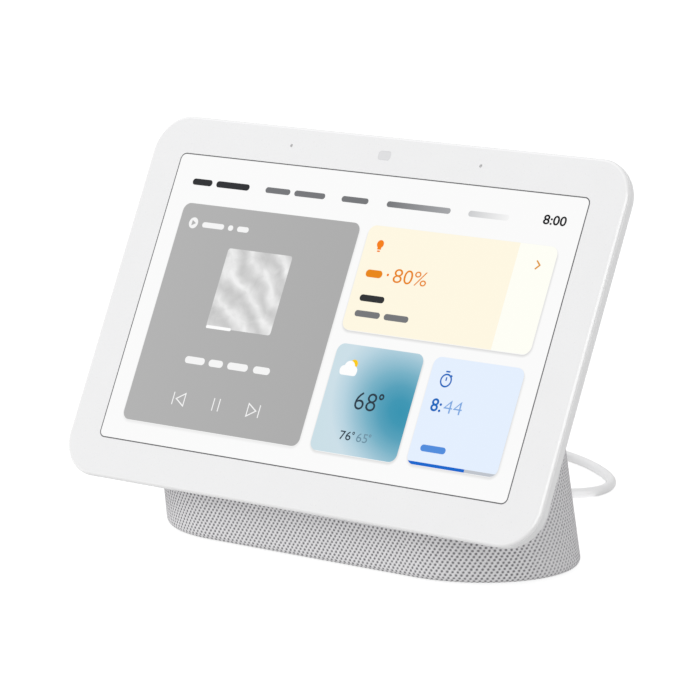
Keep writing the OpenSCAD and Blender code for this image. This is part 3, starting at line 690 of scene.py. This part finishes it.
def add_glass():
    """Front glass, its rounded edge in a lighter copy of the glass's finish as a painted highlight, pierced
    for the sensor and the two microphones.
    """
    size = GLASS_HIGH - GLASS_LOW
    edge = quarter(GLASS_ROUND, -GLASS_ROUND, GLASS_ROUND, 0, 90, 9)
    profile = [(0, -GLASS_T)] + edge + [(GLASS_ROUND + 0.25, 0)]
    points, faces = slab(size.x, size.y, HEAD_R - 0.1, profile, 24)
    glass = add_mesh("glass_front", points, faces, "bezel_glass", hides="front_glass", matrix=HEAD)
    # the rounded edge's faces take a lighter copy of the glass's finish: a painted highlight
    glass.data.materials.append(named("glass_rim_painted_highlight", glazed((0.86, 0.86, 0.862), 0.25, 0.5, 0.004)))
    for face in glass.data.polygons:
        if -0.99 < (HEAD_BACK.to_3x3() @ face.normal).z < 0.97:
            face.material_index = 1
    holes = [circle(MIC_HOLE_R, 24, place) for place in mic_places()]
    low, high, middle = head_box("sensor_window")
    wide, tall, _ = high - low
    window = rounded_rect(wide + 2 * WINDOW_GAP, tall + 2 * WINDOW_GAP, 1, 8, middle)
    pierce(glass, holes + [window], *THROUGH_GLASS)


def add_housing():
    """Closed housing: outer skin, flat back, then the cavity's skin, joined at the front rim."""
    size = CASE_HIGH - CASE_LOW
    back = -HEAD_T
    outer = [(BACK_ROUND + 0.3, back)] + quarter(BACK_ROUND, back + BACK_ROUND, BACK_ROUND, -90, 0, 14)
    turn = BACK_ROUND - SIDE_WALL
    inner = quarter(SIDE_WALL + turn, back + WALL_T + turn, turn, 0, -90, 8)
    profile = outer + [(0, -GLASS_T), (SIDE_WALL, -GLASS_T)] + inner
    points, faces = slab(size.x, size.y, HEAD_R, profile, 24)
    case = add_mesh("head_case", points, faces, "white_plastic", hides="head_housing", matrix=HEAD)
    low, high, rocker = head_box("volume_rocker")
    slider_y = head_box("mic_slider")[2].y
    opening = rounded_rect(ROCKER_W + 2 * ROCKER_GAP, high.y - low.y + 2 * ROCKER_GAP, 3 - 0.02, 10, rocker)
    slot = rounded_rect(SLOT_L, KNOB_W + 0.6, 1.6, 8, (0, slider_y))
    rear_mic = circle(MIC_HOLE_R, 24, (REAR_MIC_X, slider_y))
    pierce(case, [opening, slot, rear_mic], back - 1, back + WALL_T + 1)


def add_mic_grilles():
    """Two small woven discs just under the glass's face, one behind each microphone hole."""
    disc, sides = slab(0.98, 0.98, 0.48, [(0.08, -0.5), (0.0, -0.44), (0.0, -0.28), (0.06, -0.22)], 6)
    points = [(px + x, py + y, pz) for x, y in mic_places() for px, py, pz in disc]
    faces = sides + [tuple(len(disc) + i for i in face) for face in sides]
    add_mesh("mic_grilles", points, faces, "mic_mesh", hides="mic_meshes", matrix=HEAD)


add_glass()
add_mic_grilles()
add_housing()


# ---- rocker and microphone switch ----

def add_rocker():
    """Volume rocker: a rounded bar, dished along its middle. It turns on the CAD's hinge line."""
    low, high, middle = head_box("volume_rocker")
    length = high.y - low.y
    bottom = low.z
    edge = quarter(ROCKER_EDGE, bottom + ROCKER_EDGE, ROCKER_EDGE, -90, 0, 5)[1:]
    profile = [(0.9, bottom), (0.55, bottom)] + edge + [(0, high.z)]
    points, faces = slab(ROCKER_W, length, ROCKER_W / 2 - 0.02, profile, 12)
    made = []
    for x, y, z in points:
        from_middle = min(1.0, abs(y) / (length / 2))
        dish = ROCKER_DISH * math.cos(from_middle * math.pi / 2) if z < bottom + 0.1 else 0
        made.append((x, y, z + dish))
    weighted(add_mesh("volume_key", made, faces, "white_plastic", "rocker", "volume_rocker",
                      matrix=on_head(middle.x, middle.y)))


def add_slider():
    """Microphone switch: a ribbed knob over a flange, whose orange half shows at the off end."""
    low, _, middle = head_box("mic_slider")
    x, y, bottom = middle.x, middle.y, low.z
    neck = -HEAD_T + WALL_T + 0.1
    edge = quarter(KNOB_EDGE, bottom + KNOB_EDGE, KNOB_EDGE, -90, 0, 4)[1:]
    points, faces = slab(KNOB_L, KNOB_W, 1.3, [(0.75, bottom), (0.4, bottom)] + edge + [(0, neck)], 8)
    knob = add_mesh("mic_knob", points, faces, "slider_plastic", "slider", "mic_slider", matrix=on_head(x, y))
    grooves = [[(rx - 0.25, -3), (rx + 0.25, -3), (rx + 0.25, 3), (rx - 0.25, 3)] for rx in (-1.5, 0, 1.5)]
    pierce(knob, grooves, bottom - 1, bottom + 0.3, on_head(x, y))
    profile = [(0.15, neck), (0, neck + 0.15), (0, neck + 0.55), (0.15, neck + 0.7)]
    points, faces = slab(FLANGE_L / 2, KNOB_W + 1.4, 1, profile, 6)
    shift = FLANGE_L / 4
    add_mesh("mic_flange", points, faces, "slider_plastic", "slider", matrix=on_head(x + shift, y))
    flag = add_mesh("mic_flag", points, faces, "slider_plastic", "slider", matrix=on_head(x - shift, y))
    flag.data.materials[0] = named("flag_orange", moulded(rgb(236, 122, 48), 0.45, 0.3, 0.006, 0.02))


add_rocker()
add_slider()


# ---- fabric sleeve ----

BASE_HALF = 70.8
END_RX = 32.0
HEM_Z = 0.3
HEM_W = 6.0
FOLD_R = 2.0
FABRIC_T = 0.9
PLATE_Z = 0.78
COLUMNS = 260
FOLD_ROWS = 6
WALL_ROWS = 30
INNER_ROWS = 10
SLEEVE_GAP = 0.06
PLUG_HOLE_R = 4.9
PLUG_HOLE_REACH = (26.0, 40.0)
FRONT_Y = -24.5
FRONT_LEAN = 0.113
BACK_Y = 35.2
BACK_LEAN = 0.264


def lengths(points):
    """Distance along a line of points, from its start to each of them."""
    run = [0.0]
    for a, b in zip(points, points[1:]):
        run.append(run[-1] + (b - a).length)
    return run


def base_point(turn, z, inset):
    """Point of the base's outline at a height. turn runs once round from the back's middle, towards -X."""
    front, back = FRONT_Y - FRONT_LEAN * z, BACK_Y - BACK_LEAN * z
    straight, middle = BASE_HALF - END_RX, (front + back) / 2
    rx, ry = END_RX - inset, (back - front) / 2 - inset
    kind, share = turn
    if kind in ("back", "front"):
        return Vector((straight * share, middle + (ry if kind == "back" else -ry), z))
    side = -1 if kind == "left" else 1
    return Vector((side * (straight + rx * math.sin(share)), middle + ry * math.cos(share), z))


def base_turns():
    """Places round the outline at even spacing, and the whole way round in mm."""
    fine = [("back", -i / 40) for i in range(40)]
    fine += [("left", math.pi * i / 160) for i in range(160)]
    fine += [("front", -1 + 2 * i / 80) for i in range(80)]
    fine += [("right", math.pi * (1 - i / 160)) for i in range(160)]
    fine += [("back", 1 - i / 40) for i in range(41)]
    run = lengths([base_point(t, 10, 0) for t in fine])
    total = run[-1]
    turns, k = [], 0
    for i in range(COLUMNS):
        goal = total * i / COLUMNS
        while run[k + 1] < goal:
            k += 1
        share = (goal - run[k]) / (run[k + 1] - run[k])
        kind, a = fine[k]
        other, b = fine[k + 1]
        if other != kind:
            b = {"left": math.pi, "right": 0.0, "front": 1.0, "back": -1.0}[kind]
        turns.append((kind, a + (b - a) * share))
    return turns, total


def behind_head(point):
    """Distance in mm from a point to the back of the head, whose lower edge is rounded."""
    local = HEAD_BACK @ (point * MM) / MM
    depth = -local.z
    turn_y = CASE_LOW.y + BACK_ROUND
    if local.y > turn_y:
        return depth - HEAD_T
    return math.hypot(turn_y - local.y, depth - (HEAD_T - BACK_ROUND)) - BACK_ROUND


def wall_top(turn, inset):
    """Height at which the wall meets the back of the head."""
    low, high = 10.0, 130.0
    for _ in range(40):
        middle = (low + high) / 2
        if behind_head(base_point(turn, middle, inset)) > SLEEVE_GAP:
            low = middle
        else:
            high = middle
    return low


def column_points(turn):
    """One column of the sleeve: under the foot, round the bottom edge, up the wall, and back down inside."""
    rows = [base_point(turn, HEM_Z, inset) for inset in (HEM_W, HEM_W - 1.3, HEM_W - 2.6)]
    for i in range(FOLD_ROWS):
        turned = math.radians(90 * i / FOLD_ROWS)
        height, inset = FOLD_R * (1 - math.cos(turned)), FOLD_R * (1 - math.sin(turned))
        rows.append(base_point(turn, HEM_Z + height, inset))
    start = HEM_Z + FOLD_R
    top = wall_top(turn, 0)
    rows += [base_point(turn, start + (top - start) * i / WALL_ROWS, 0) for i in range(WALL_ROWS + 1)]
    inner_top = wall_top(turn, FABRIC_T)
    fall = (start - inner_top) / INNER_ROWS
    rows += [base_point(turn, inner_top + fall * i, FABRIC_T) for i in range(INNER_ROWS + 1)]
    rows += [base_point(turn, z, inset) for z, inset in ((1.3, 1.2), (PLATE_Z, 2.2), (PLATE_Z, HEM_W))]
    return rows


def add_sleeve():
    turns, around = base_turns()
    columns = [column_points(t) for t in turns]
    rows = len(columns[0])
    wall_start = 3 + FOLD_ROWS
    outer = wall_start + WALL_ROWS + 1
    points = sum(columns, [])
    faces, uvs, heights = [], [], []
    for column in columns:
        run = lengths(column)
        zero = run[wall_start]
        heights.append([r - zero for r in run] + [run[-1] - zero + 1])
    area = 0.0
    for i in range(COLUMNS):
        n = (i + 1) % COLUMNS
        left, right = around * i / COLUMNS, around * (i + 1) / COLUMNS
        for j in range(rows):
            m = (j + 1) % rows
            faces.append((i * rows + j, i * rows + m, n * rows + m, n * rows + j))
            here, there = heights[i][j:j + 2], heights[n][j:j + 2]
            uvs += [(left, here[0]), (left, here[1]), (right, there[1]), (right, there[0])]
            if j < outer - 1:
                a, b, c, d = (points[k] for k in faces[-1])
                area += ((c - a).cross(d - b)).length / 2
    sleeve = add_mesh("fabric_sleeve", points, faces, "grey_fabric", body=None, hides="fabric_cover",
                      smooth_below=50)
    layer = sleeve.data.uv_layers.new(name="weave")
    for loop, uv in zip(layer.data, uvs):
        loop.uv = uv
    low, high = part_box("dc_plug")
    inlet = Matrix.Translation(((low.x + high.x) / 2, 0, (low.z + high.z) / 2))
    inlet = inlet @ Matrix.Rotation(math.radians(-90), 4, "X")
    cut(sleeve, [cutter(circle(PLUG_HOLE_R, 48), *PLUG_HOLE_REACH, inlet)])
    shade(sleeve.data, 50)
    tall = max(h[outer - 1] for h in heights) - heights[0][0]
    return sleeve, around * MM, tall * MM, area * MM * MM


sleeve, SLEEVE_AROUND, SLEEVE_TALL, SLEEVE_AREA = add_sleeve()
sleeve.data.materials[0] = knit(SLEEVE_AROUND / MM)
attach(sleeve, "display")


# ---- the picture on the screen ----

LAYER_STEP = 0.02
PAPER = (251, 251, 251)
WHITE = (255, 255, 255)
CARD_R = 2.6
CARD_LAYER = 2


def between(x0, x1, y0, y1):
    """Size and middle of a card from its edges."""
    return (x1 - x0, y1 - y0), ((x0 + x1) / 2, (y0 + y1) / 2)


def card_outline(size, centre):
    return rounded_rect(*size, CARD_R, 8, centre)


class Picture:
    """Flat coloured shapes in mm on the glass, each on its own thin layer in front of it."""

    def __init__(self):
        self.points, self.faces, self.colours = [], [], []

    def face(self, outline, layer, *colours):
        """colours is one colour, or one for each corner."""
        start = len(self.points)
        self.points += [(x, y, LAYER_STEP * (layer + 1)) for x, y in outline]
        self.faces.append(tuple(range(start, start + len(outline))))
        self.colours.append(list(colours) * (len(outline) if len(colours) == 1 else 1))

    def ring(self, outer, inner, layer, outer_colour, inner_colour):
        """Band between two outlines of the same number of points."""
        for corners in zip(outer, outer[1:] + outer[:1], inner[1:] + inner[:1], inner):
            self.face(corners, layer, outer_colour, outer_colour, inner_colour, inner_colour)

    def bar(self, x0, x1, y, height, layer, colour, end_colour=None):
        """Bar with round ends. With an end colour, it fades into that to the right."""
        outline = rounded_rect(x1 - x0, height, height / 2 - 0.01, 5, ((x0 + x1) / 2, y))
        end = end_colour or colour
        self.face(outline, layer, *[blend(colour, end, (px - x0) / (x1 - x0)) for px, _ in outline])

    def shadow(self, size, centre, depth):
        """Soft shadow on the paper round a card."""
        (wide, tall), (x, y) = size, centre
        near = rounded_rect(wide - 0.6, tall - 0.6, CARD_R, 8, (x + 0.15, y - 0.45))
        far = rounded_rect(wide + 1.3, tall + 1.3, CARD_R + 0.9, 8, (x + 0.15, y - 0.5))
        self.ring(far, near, CARD_LAYER - 1, PAPER, tuple(c - depth for c in PAPER))

    def card(self, size, centre, colour, depth, right_colour=None):
        """Card with its shadow. A right-hand colour, if given, fades in from the left."""
        self.shadow(size, centre, depth)
        right = right_colour or colour
        outline = card_outline(size, centre)
        self.face(outline, CARD_LAYER, *[right if px > centre[0] else colour for px, _ in outline])

    def stroke(self, line, width, layer, colour, closed=False):
        """Line of even width, mitred at its corners."""
        points = [Vector(p) for p in line]
        count = len(points)
        sides = []
        for i, p in enumerate(points):
            before = points[i - 1] if closed or i else p
            after = points[(i + 1) % count] if closed or i < count - 1 else p
            first, second = (p - before).normalized(), (after - p).normalized()
            mean = (first + second).normalized()
            reach = width / 2 / max(0.35, mean.dot(second if second.length else first))
            normal = Vector((-mean.y, mean.x)) * reach
            sides.append((p + normal, p - normal))
        for i in range(count if closed else count - 1):
            a, b = sides[i], sides[(i + 1) % count]
            self.face([a[0], a[1], b[1], b[0]], layer, colour)

    def digits(self, text, x, to_x, y, height, layer, colour, weight):
        """Figures from the built-in typeface, standing on y and filling the width from x to to_x."""
        curve = bpy.data.curves.new("digits", "FONT")
        curve.body = text
        curve.offset = weight
        curve.resolution_u = 4
        holder = placed("digits", curve)
        mesh = finished_mesh(holder)
        xs, ys = ([v.co[i] for v in mesh.vertices] for i in (0, 1))
        low_x, low_y = min(xs), min(ys)
        scale_x, scale_y = (to_x - x) / (max(xs) - low_x), height / (max(ys) - low_y)
        for polygon in mesh.polygons:
            corners = [mesh.vertices[i].co for i in polygon.vertices]
            outline = [(x + (c.x - low_x) * scale_x, y + (c.y - low_y) * scale_y) for c in corners]
            self.face(outline, layer, colour)
        bpy.data.objects.remove(holder)
        bpy.data.meshes.remove(mesh)

    def make(self, name, material):
        mesh = new_mesh(name, self.points, self.faces)
        ink = mesh.color_attributes.new(name="ink", type="FLOAT_COLOR", domain="CORNER")
        uv = mesh.uv_layers.new(name="picture")
        flat = [c for face in self.colours for c in face]
        for i, loop in enumerate(mesh.loops):
            ink.data[i].color = (*glow(*flat[i]), 1)
            uv.data[i].uv = self.points[loop.vertex_index][:2]
        edit = bmesh.new()
        edit.from_mesh(mesh)
        bmesh.ops.remove_doubles(edit, verts=edit.verts, dist=1e-4)
        for face in edit.faces:
            if face.normal.z < 0:
                face.normal_flip()
        bmesh.ops.triangulate(edit, faces=[f for f in edit.faces if len(f.verts) > 4])
        edit.to_mesh(mesh)
        edit.free()
        mesh.transform(HEAD @ FROM_MM)
        mesh.materials.append(material)
        obj = placed(name, mesh)
        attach(obj, "display")


INK = (52, 53, 56)
TAB = (120, 121, 124)
FAINT = (205, 206, 208)
GREY_CARD = (180, 180, 180)
GREY_CARD_RIGHT = (174, 174, 174)
ON_GREY = (246, 246, 246)
CREAM = (255, 248, 227)
CREAM_LIGHT = (255, 255, 246)
ORANGE = (247, 129, 26)
AMBER = (226, 156, 66)
TEXT_ORANGE = (234, 136, 22)
SLATE = (48, 62, 74)
SLATE_FAINT = (112, 146, 164)
PALE_BLUE = (229, 240, 255)
BLUE = (22, 104, 206)
DEEP_BLUE = (24, 104, 192)
BLUE_FAINT = (128, 170, 226)
TIMER_RIM = (192, 197, 205)
TIMER_BAR = (84, 142, 222)
CLOCK_INK = (34, 35, 38)
SUN = (252, 204, 28)
EDGE_INK = (104, 104, 106)
MENU_Y = 36.8
WEATHER_CARD = ((31.8, 32.6), (18.9, -22.6))
SKY = ((0.0, (57, 149, 179)), (0.14, (65, 152, 181)), (0.285, (88, 162, 188)), (0.43, (121, 179, 200)),
       (0.57, (155, 196, 213)), (0.71, (185, 213, 226)), (0.86, (205, 224, 233)), (1.0, (204, 224, 232)))
SKY_MIDDLE = (32.0, -24.2, 0)
SKY_TURN = -0.575
SKY_REACH = (33.3, 24.9, 1)
ART = ((0.15, (196, 196, 196)), (0.45, (216, 216, 216)), (0.6, (224, 224, 224)), (0.85, (246, 246, 246)))


def ink_colour(paint, _):
    return paint.node("Attribute", attribute_name="ink")["Color"]


def glow_ramp(paint, factor, stops):
    return paint.ramp(factor, [(position, glow(*colour)) for position, colour in stops])


def weather_colour(paint, uv):
    """Sky that deepens towards one side of the card."""
    place = paint.node("Mapping", vector_type="TEXTURE", Vector=uv, Location=SKY_MIDDLE,
                       Rotation=(0, 0, SKY_TURN), Scale=SKY_REACH)[0]
    far = paint.node("VectorMath", place, operation="LENGTH")["Value"]
    return glow_ramp(paint, paint.stirred(far, paint.noise(uv, 0.05, 1), 0.06), SKY)


def art_colour(paint, uv):
    """Sleeve picture: soft folds of light and shade, of no subject."""
    folds = paint.node("TexWave", bands_direction="DIAGONAL", Vector=uv, Scale=0.05, Distortion=9, Detail=3,
                       Detail_Scale=0.9)["Fac"]
    cloud = paint.noise(uv, 0.16, 4, 0.6, 1.2)
    return glow_ramp(paint, paint.plus(paint.math("MULTIPLY", folds, 0.45), cloud, 0.55), ART)


def note_card(pic):
    """Player card: heading, title and three control marks."""
    pic.card(*between(-69.7, -1.2, -38.9, 30.0), GREY_CARD, 16, GREY_CARD_RIGHT)
    pic.face(circle(1.75, 28, (-64.2, 23.9)), 3, ON_GREY)
    pic.face([(-64.8, 23.0), (-63.2, 23.9), (-64.8, 24.8)], 4, GREY_CARD)
    for x0, x1 in ((-60.6, -52.0), (-50.4, -48.4), (-46.8, -42.3)):
        pic.bar(x0, x1, 23.7, 1.7, 3, ON_GREY)
    pic.bar(-47.8, -38.1, -7.25, 0.95, 5, WHITE)
    for x0, x1 in ((-52.1, -44.4), (-42.8, -37.3), (-35.5, -27.6), (-25.5, -19.1)):
        pic.bar(x0, x1, -18.1, 2.2, 3, ON_GREY)
    top, bottom, line = -28.4, -32.3, 0.36
    for side, x in ((1, -50.0), (-1, -21.2)):
        base, tip = x + side * 2.1, x - side * 1.1
        pic.stroke([(base, top), (base, bottom), (tip, (top + bottom) / 2)], line, 3, ON_GREY, True)
    for x in (-52.3, -18.9, -36.6, -34.4):
        pic.stroke([(x, top), (x, bottom)], line, 3, ON_GREY)


def lamp_card(pic):
    bottom, top, split = -2.2, 30.0, 56.9
    card = between(2.2, 70.5, bottom, top)
    pic.card(*card, CREAM_LIGHT, 34)
    left = [(x, y) for x, y in card_outline(*card) if x < split]
    pic.face(left + [(split, bottom), (split, top)], 3, CREAM)
    turns = [math.radians(a) for a in range(-50, 231, 20)]
    pic.face([(7.8 + 1.26 * math.cos(a), 24.5 + 1.26 * math.sin(a)) for a in turns], 4, ORANGE)
    pic.face([(7.1, 23.7), (7.1, 22.8), (8.5, 22.8), (8.5, 23.7)], 5, ORANGE)
    pic.face(rounded_rect(1.1, 0.45, 0.2, 3, (7.8, 22.3)), 4, ORANGE)
    pic.stroke([(64.2, 25.4), (65.55, 24.1), (64.2, 22.8)], 0.5, 4, AMBER)
    pic.bar(5.5, 11.6, 15.4, 2.3, 4, TEXT_ORANGE)
    pic.face(circle(0.42, 16, (13.6, 15.6)), 4, ORANGE)
    pic.digits("80%", 15.7, 28.0, 13.5, 4.3, 4, TEXT_ORANGE, -0.004)
    pic.bar(5.8, 14.9, 7.9, 2.0, 4, INK)
    for a, b in ((5.6, 14.9), (16.4, 25.4)):
        pic.bar(a, b, 3.1, 1.9, 4, TAB)


def weather_marks(pic):
    """Sun behind a cloud, and three temperatures with their degree rings."""
    pic.face(circle(1.42, 24, (10.6, -12.1)), 4, SUN)
    for x, y, r in ((9.3, -13.1, 1.9), (7.5, -14.2, 1.45), (11.0, -14.1, 1.45)):
        pic.face(circle(r, 24, (x, y)), 5, WHITE)
    pic.face(rounded_rect(6.2, 2.0, 0.95, 5, (9.25, -14.65)), 5, WHITE)
    for text, x, to_x, y, height, colour, weight in (
            ("68", 14.7, 22.4, -25.2, 5.4, SLATE, -0.008), ("76", 12.7, 16.8, -34.6, 2.7, SLATE, 0.006),
            ("65", 18.9, 22.9, -34.6, 2.7, SLATE_FAINT, 0.0)):
        pic.digits(text, x, to_x, y, height, 4, colour, weight)
        degree = circle(height * 0.125, 16, (to_x + height * 0.25, y + height * 0.87))
        pic.stroke(degree, height * 0.1, 4, colour, True)


def timer_card(pic):
    bottom, top, done, rim = -38.4, -6.2, 59.3, 0.95
    card = between(38.5, 70.7, bottom, top)
    pic.card(*card, TIMER_RIM, 26)
    left = [(x, y) for x, y in card_outline(*card) if x <= done]
    pic.face(left + [(done, bottom), (done, top)], 3, BLUE)
    pic.face([(x, max(y, bottom + rim)) for x, y in card_outline(*card)], 4, PALE_BLUE)
    cx, cy = 44.5, -12.9
    pic.stroke(circle(1.82, 28, (cx, cy)), 0.5, 5, DEEP_BLUE, True)
    for ends in ([(0, -0.1), (0, 1.0)], [(-0.75, 2.65), (0.75, 2.65)], [(1.35, 1.75), (1.8, 1.3)]):
        pic.stroke([(cx + x, cy + y) for x, y in ends], 0.46, 5, DEEP_BLUE)
    pic.digits("8:", 41.7, 45.5, -22.3, 3.9, 5, DEEP_BLUE, 0.014)
    pic.digits("44", 46.3, 52.8, -22.3, 3.9, 5, BLUE_FAINT, -0.01)
    pic.bar(42.2, 51.2, -33.2, 2.0, 5, TIMER_BAR)


def one_shape(name, outline, layer, material):
    pic = Picture()
    pic.face(outline, layer, PAPER)
    pic.make(name, material)


def add_picture():
    pic = Picture()
    pic.face(rounded_rect(SCREEN_W, SCREEN_H, 1.8, 8), 0, PAPER)
    for x0, x1 in ((-69.2, -61.4), (-59.8, -46.7)):
        pic.bar(x0, x1, MENU_Y, 2.0, 1, INK)
    for x0, x1 in ((-40.4, -30.8), (-29.2, -17.4), (-11.1, -1.0)):
        pic.bar(x0, x1, MENU_Y, 1.8, 1, TAB)
    pic.bar(5.9, 29.4, MENU_Y, 1.8, 1, TAB, (168, 169, 172))
    pic.bar(35.9, 50.5, MENU_Y, 1.8, 1, FAINT, ON_GREY)
    pic.digits("8:00", 62.4, 70.5, 36.2, 2.95, 1, CLOCK_INK, 0.02)
    note_card(pic)
    lamp_card(pic)
    weather_marks(pic)
    timer_card(pic)
    pic.shadow(*WEATHER_CARD, 29)
    pic.make("screen_picture", lit("screen_light", ink_colour))
    one_shape("screen_weather", card_outline(*WEATHER_CARD), 2, lit("weather_light", weather_colour))
    art = rounded_rect(24.9, 24.8, 0.9, 5, (-35.4, 5.1))
    one_shape("screen_cover_art", art, 3, lit("art_light", art_colour))
    edge = Picture()
    outer = rounded_rect(SCREEN_W + 0.52, SCREEN_H + 0.52, 2.06, 10)
    inner = rounded_rect(SCREEN_W - 0.16, SCREEN_H - 0.16, 1.72, 10)
    edge.ring(outer, inner, 1, EDGE_INK, EDGE_INK)
    edge.make("screen_edge_line", lit("edge_print", ink_colour))


add_picture()


# ---- studio ----

def add_studio():
    scene.view_settings.view_transform = "Standard"
    scene.view_settings.look = "None"
    scene.world = bpy.data.worlds.new("studio")
    sky = Paint("studio", scene.world)
    way = sky.node("TexCoord")["Generated"]
    facing = sky.node("VectorMath", way, Vector(LIGHT_FROM).normalized(), operation="DOT_PRODUCT")["Value"]
    sky.shade(Color=(1, 1, 1, 1), Strength=sky.ranged(facing, -1, 1, *WORLD_LIGHT))
    pale = Paint("pale_floor").shade(Base_Color=(0.4, 0.4, 0.4, 1), Roughness=0.9, Specular_IOR_Level=0.0,
                                     Emission_Color=(1, 1, 1, 1), Emission_Strength=FLOOR_GLOW)
    for name, radius, place, lights_things in FLOORS:
        mesh = new_mesh(name, [(x, y, 0) for x, y in circle(radius, 96)], [tuple(range(96))])
        mesh.materials.append(pale)
        floor = placed(name, mesh)
        floor.location = place
        floor.visible_diffuse = lights_things
    for name, place, size, power, blind_to in LIGHTS:
        lamp = bpy.data.lights.new(name, "AREA")
        lamp.shape = "DISK"
        lamp.size = size
        lamp.energy = power
        holder = placed(name, lamp)
        holder.location = place
        aim = Vector((0, 0, 0.06)) - Vector(place)
        holder.rotation_mode = "QUATERNION"
        setattr(holder, blind_to, False)
        holder.rotation_quaternion = aim.to_track_quat("-Z", "Y")


LIGHT_FROM = (-0.45, -0.65, 0.85)
WORLD_LIGHT = (0.4, 1.1)
FLOOR_GLOW = 0.76
FLOORS = [
    ("floor", 14, (0, 0, -0.00002), False),
    ("bounce_card", 0.022, (0.012, 0.076, -0.00001), True),
]
LIGHTS = [
    ("key", (-1.9, -1.5, 1.2), 1.4, 12.0, "visible_glossy"),
    ("side", (2.0, -0.6, 0.7), 1.2, 3.6, "visible_glossy"),
    ("rim_card", (1.62, -1.18, 0.45), 3.2, 50.0, "visible_diffuse"),
]

add_studio()
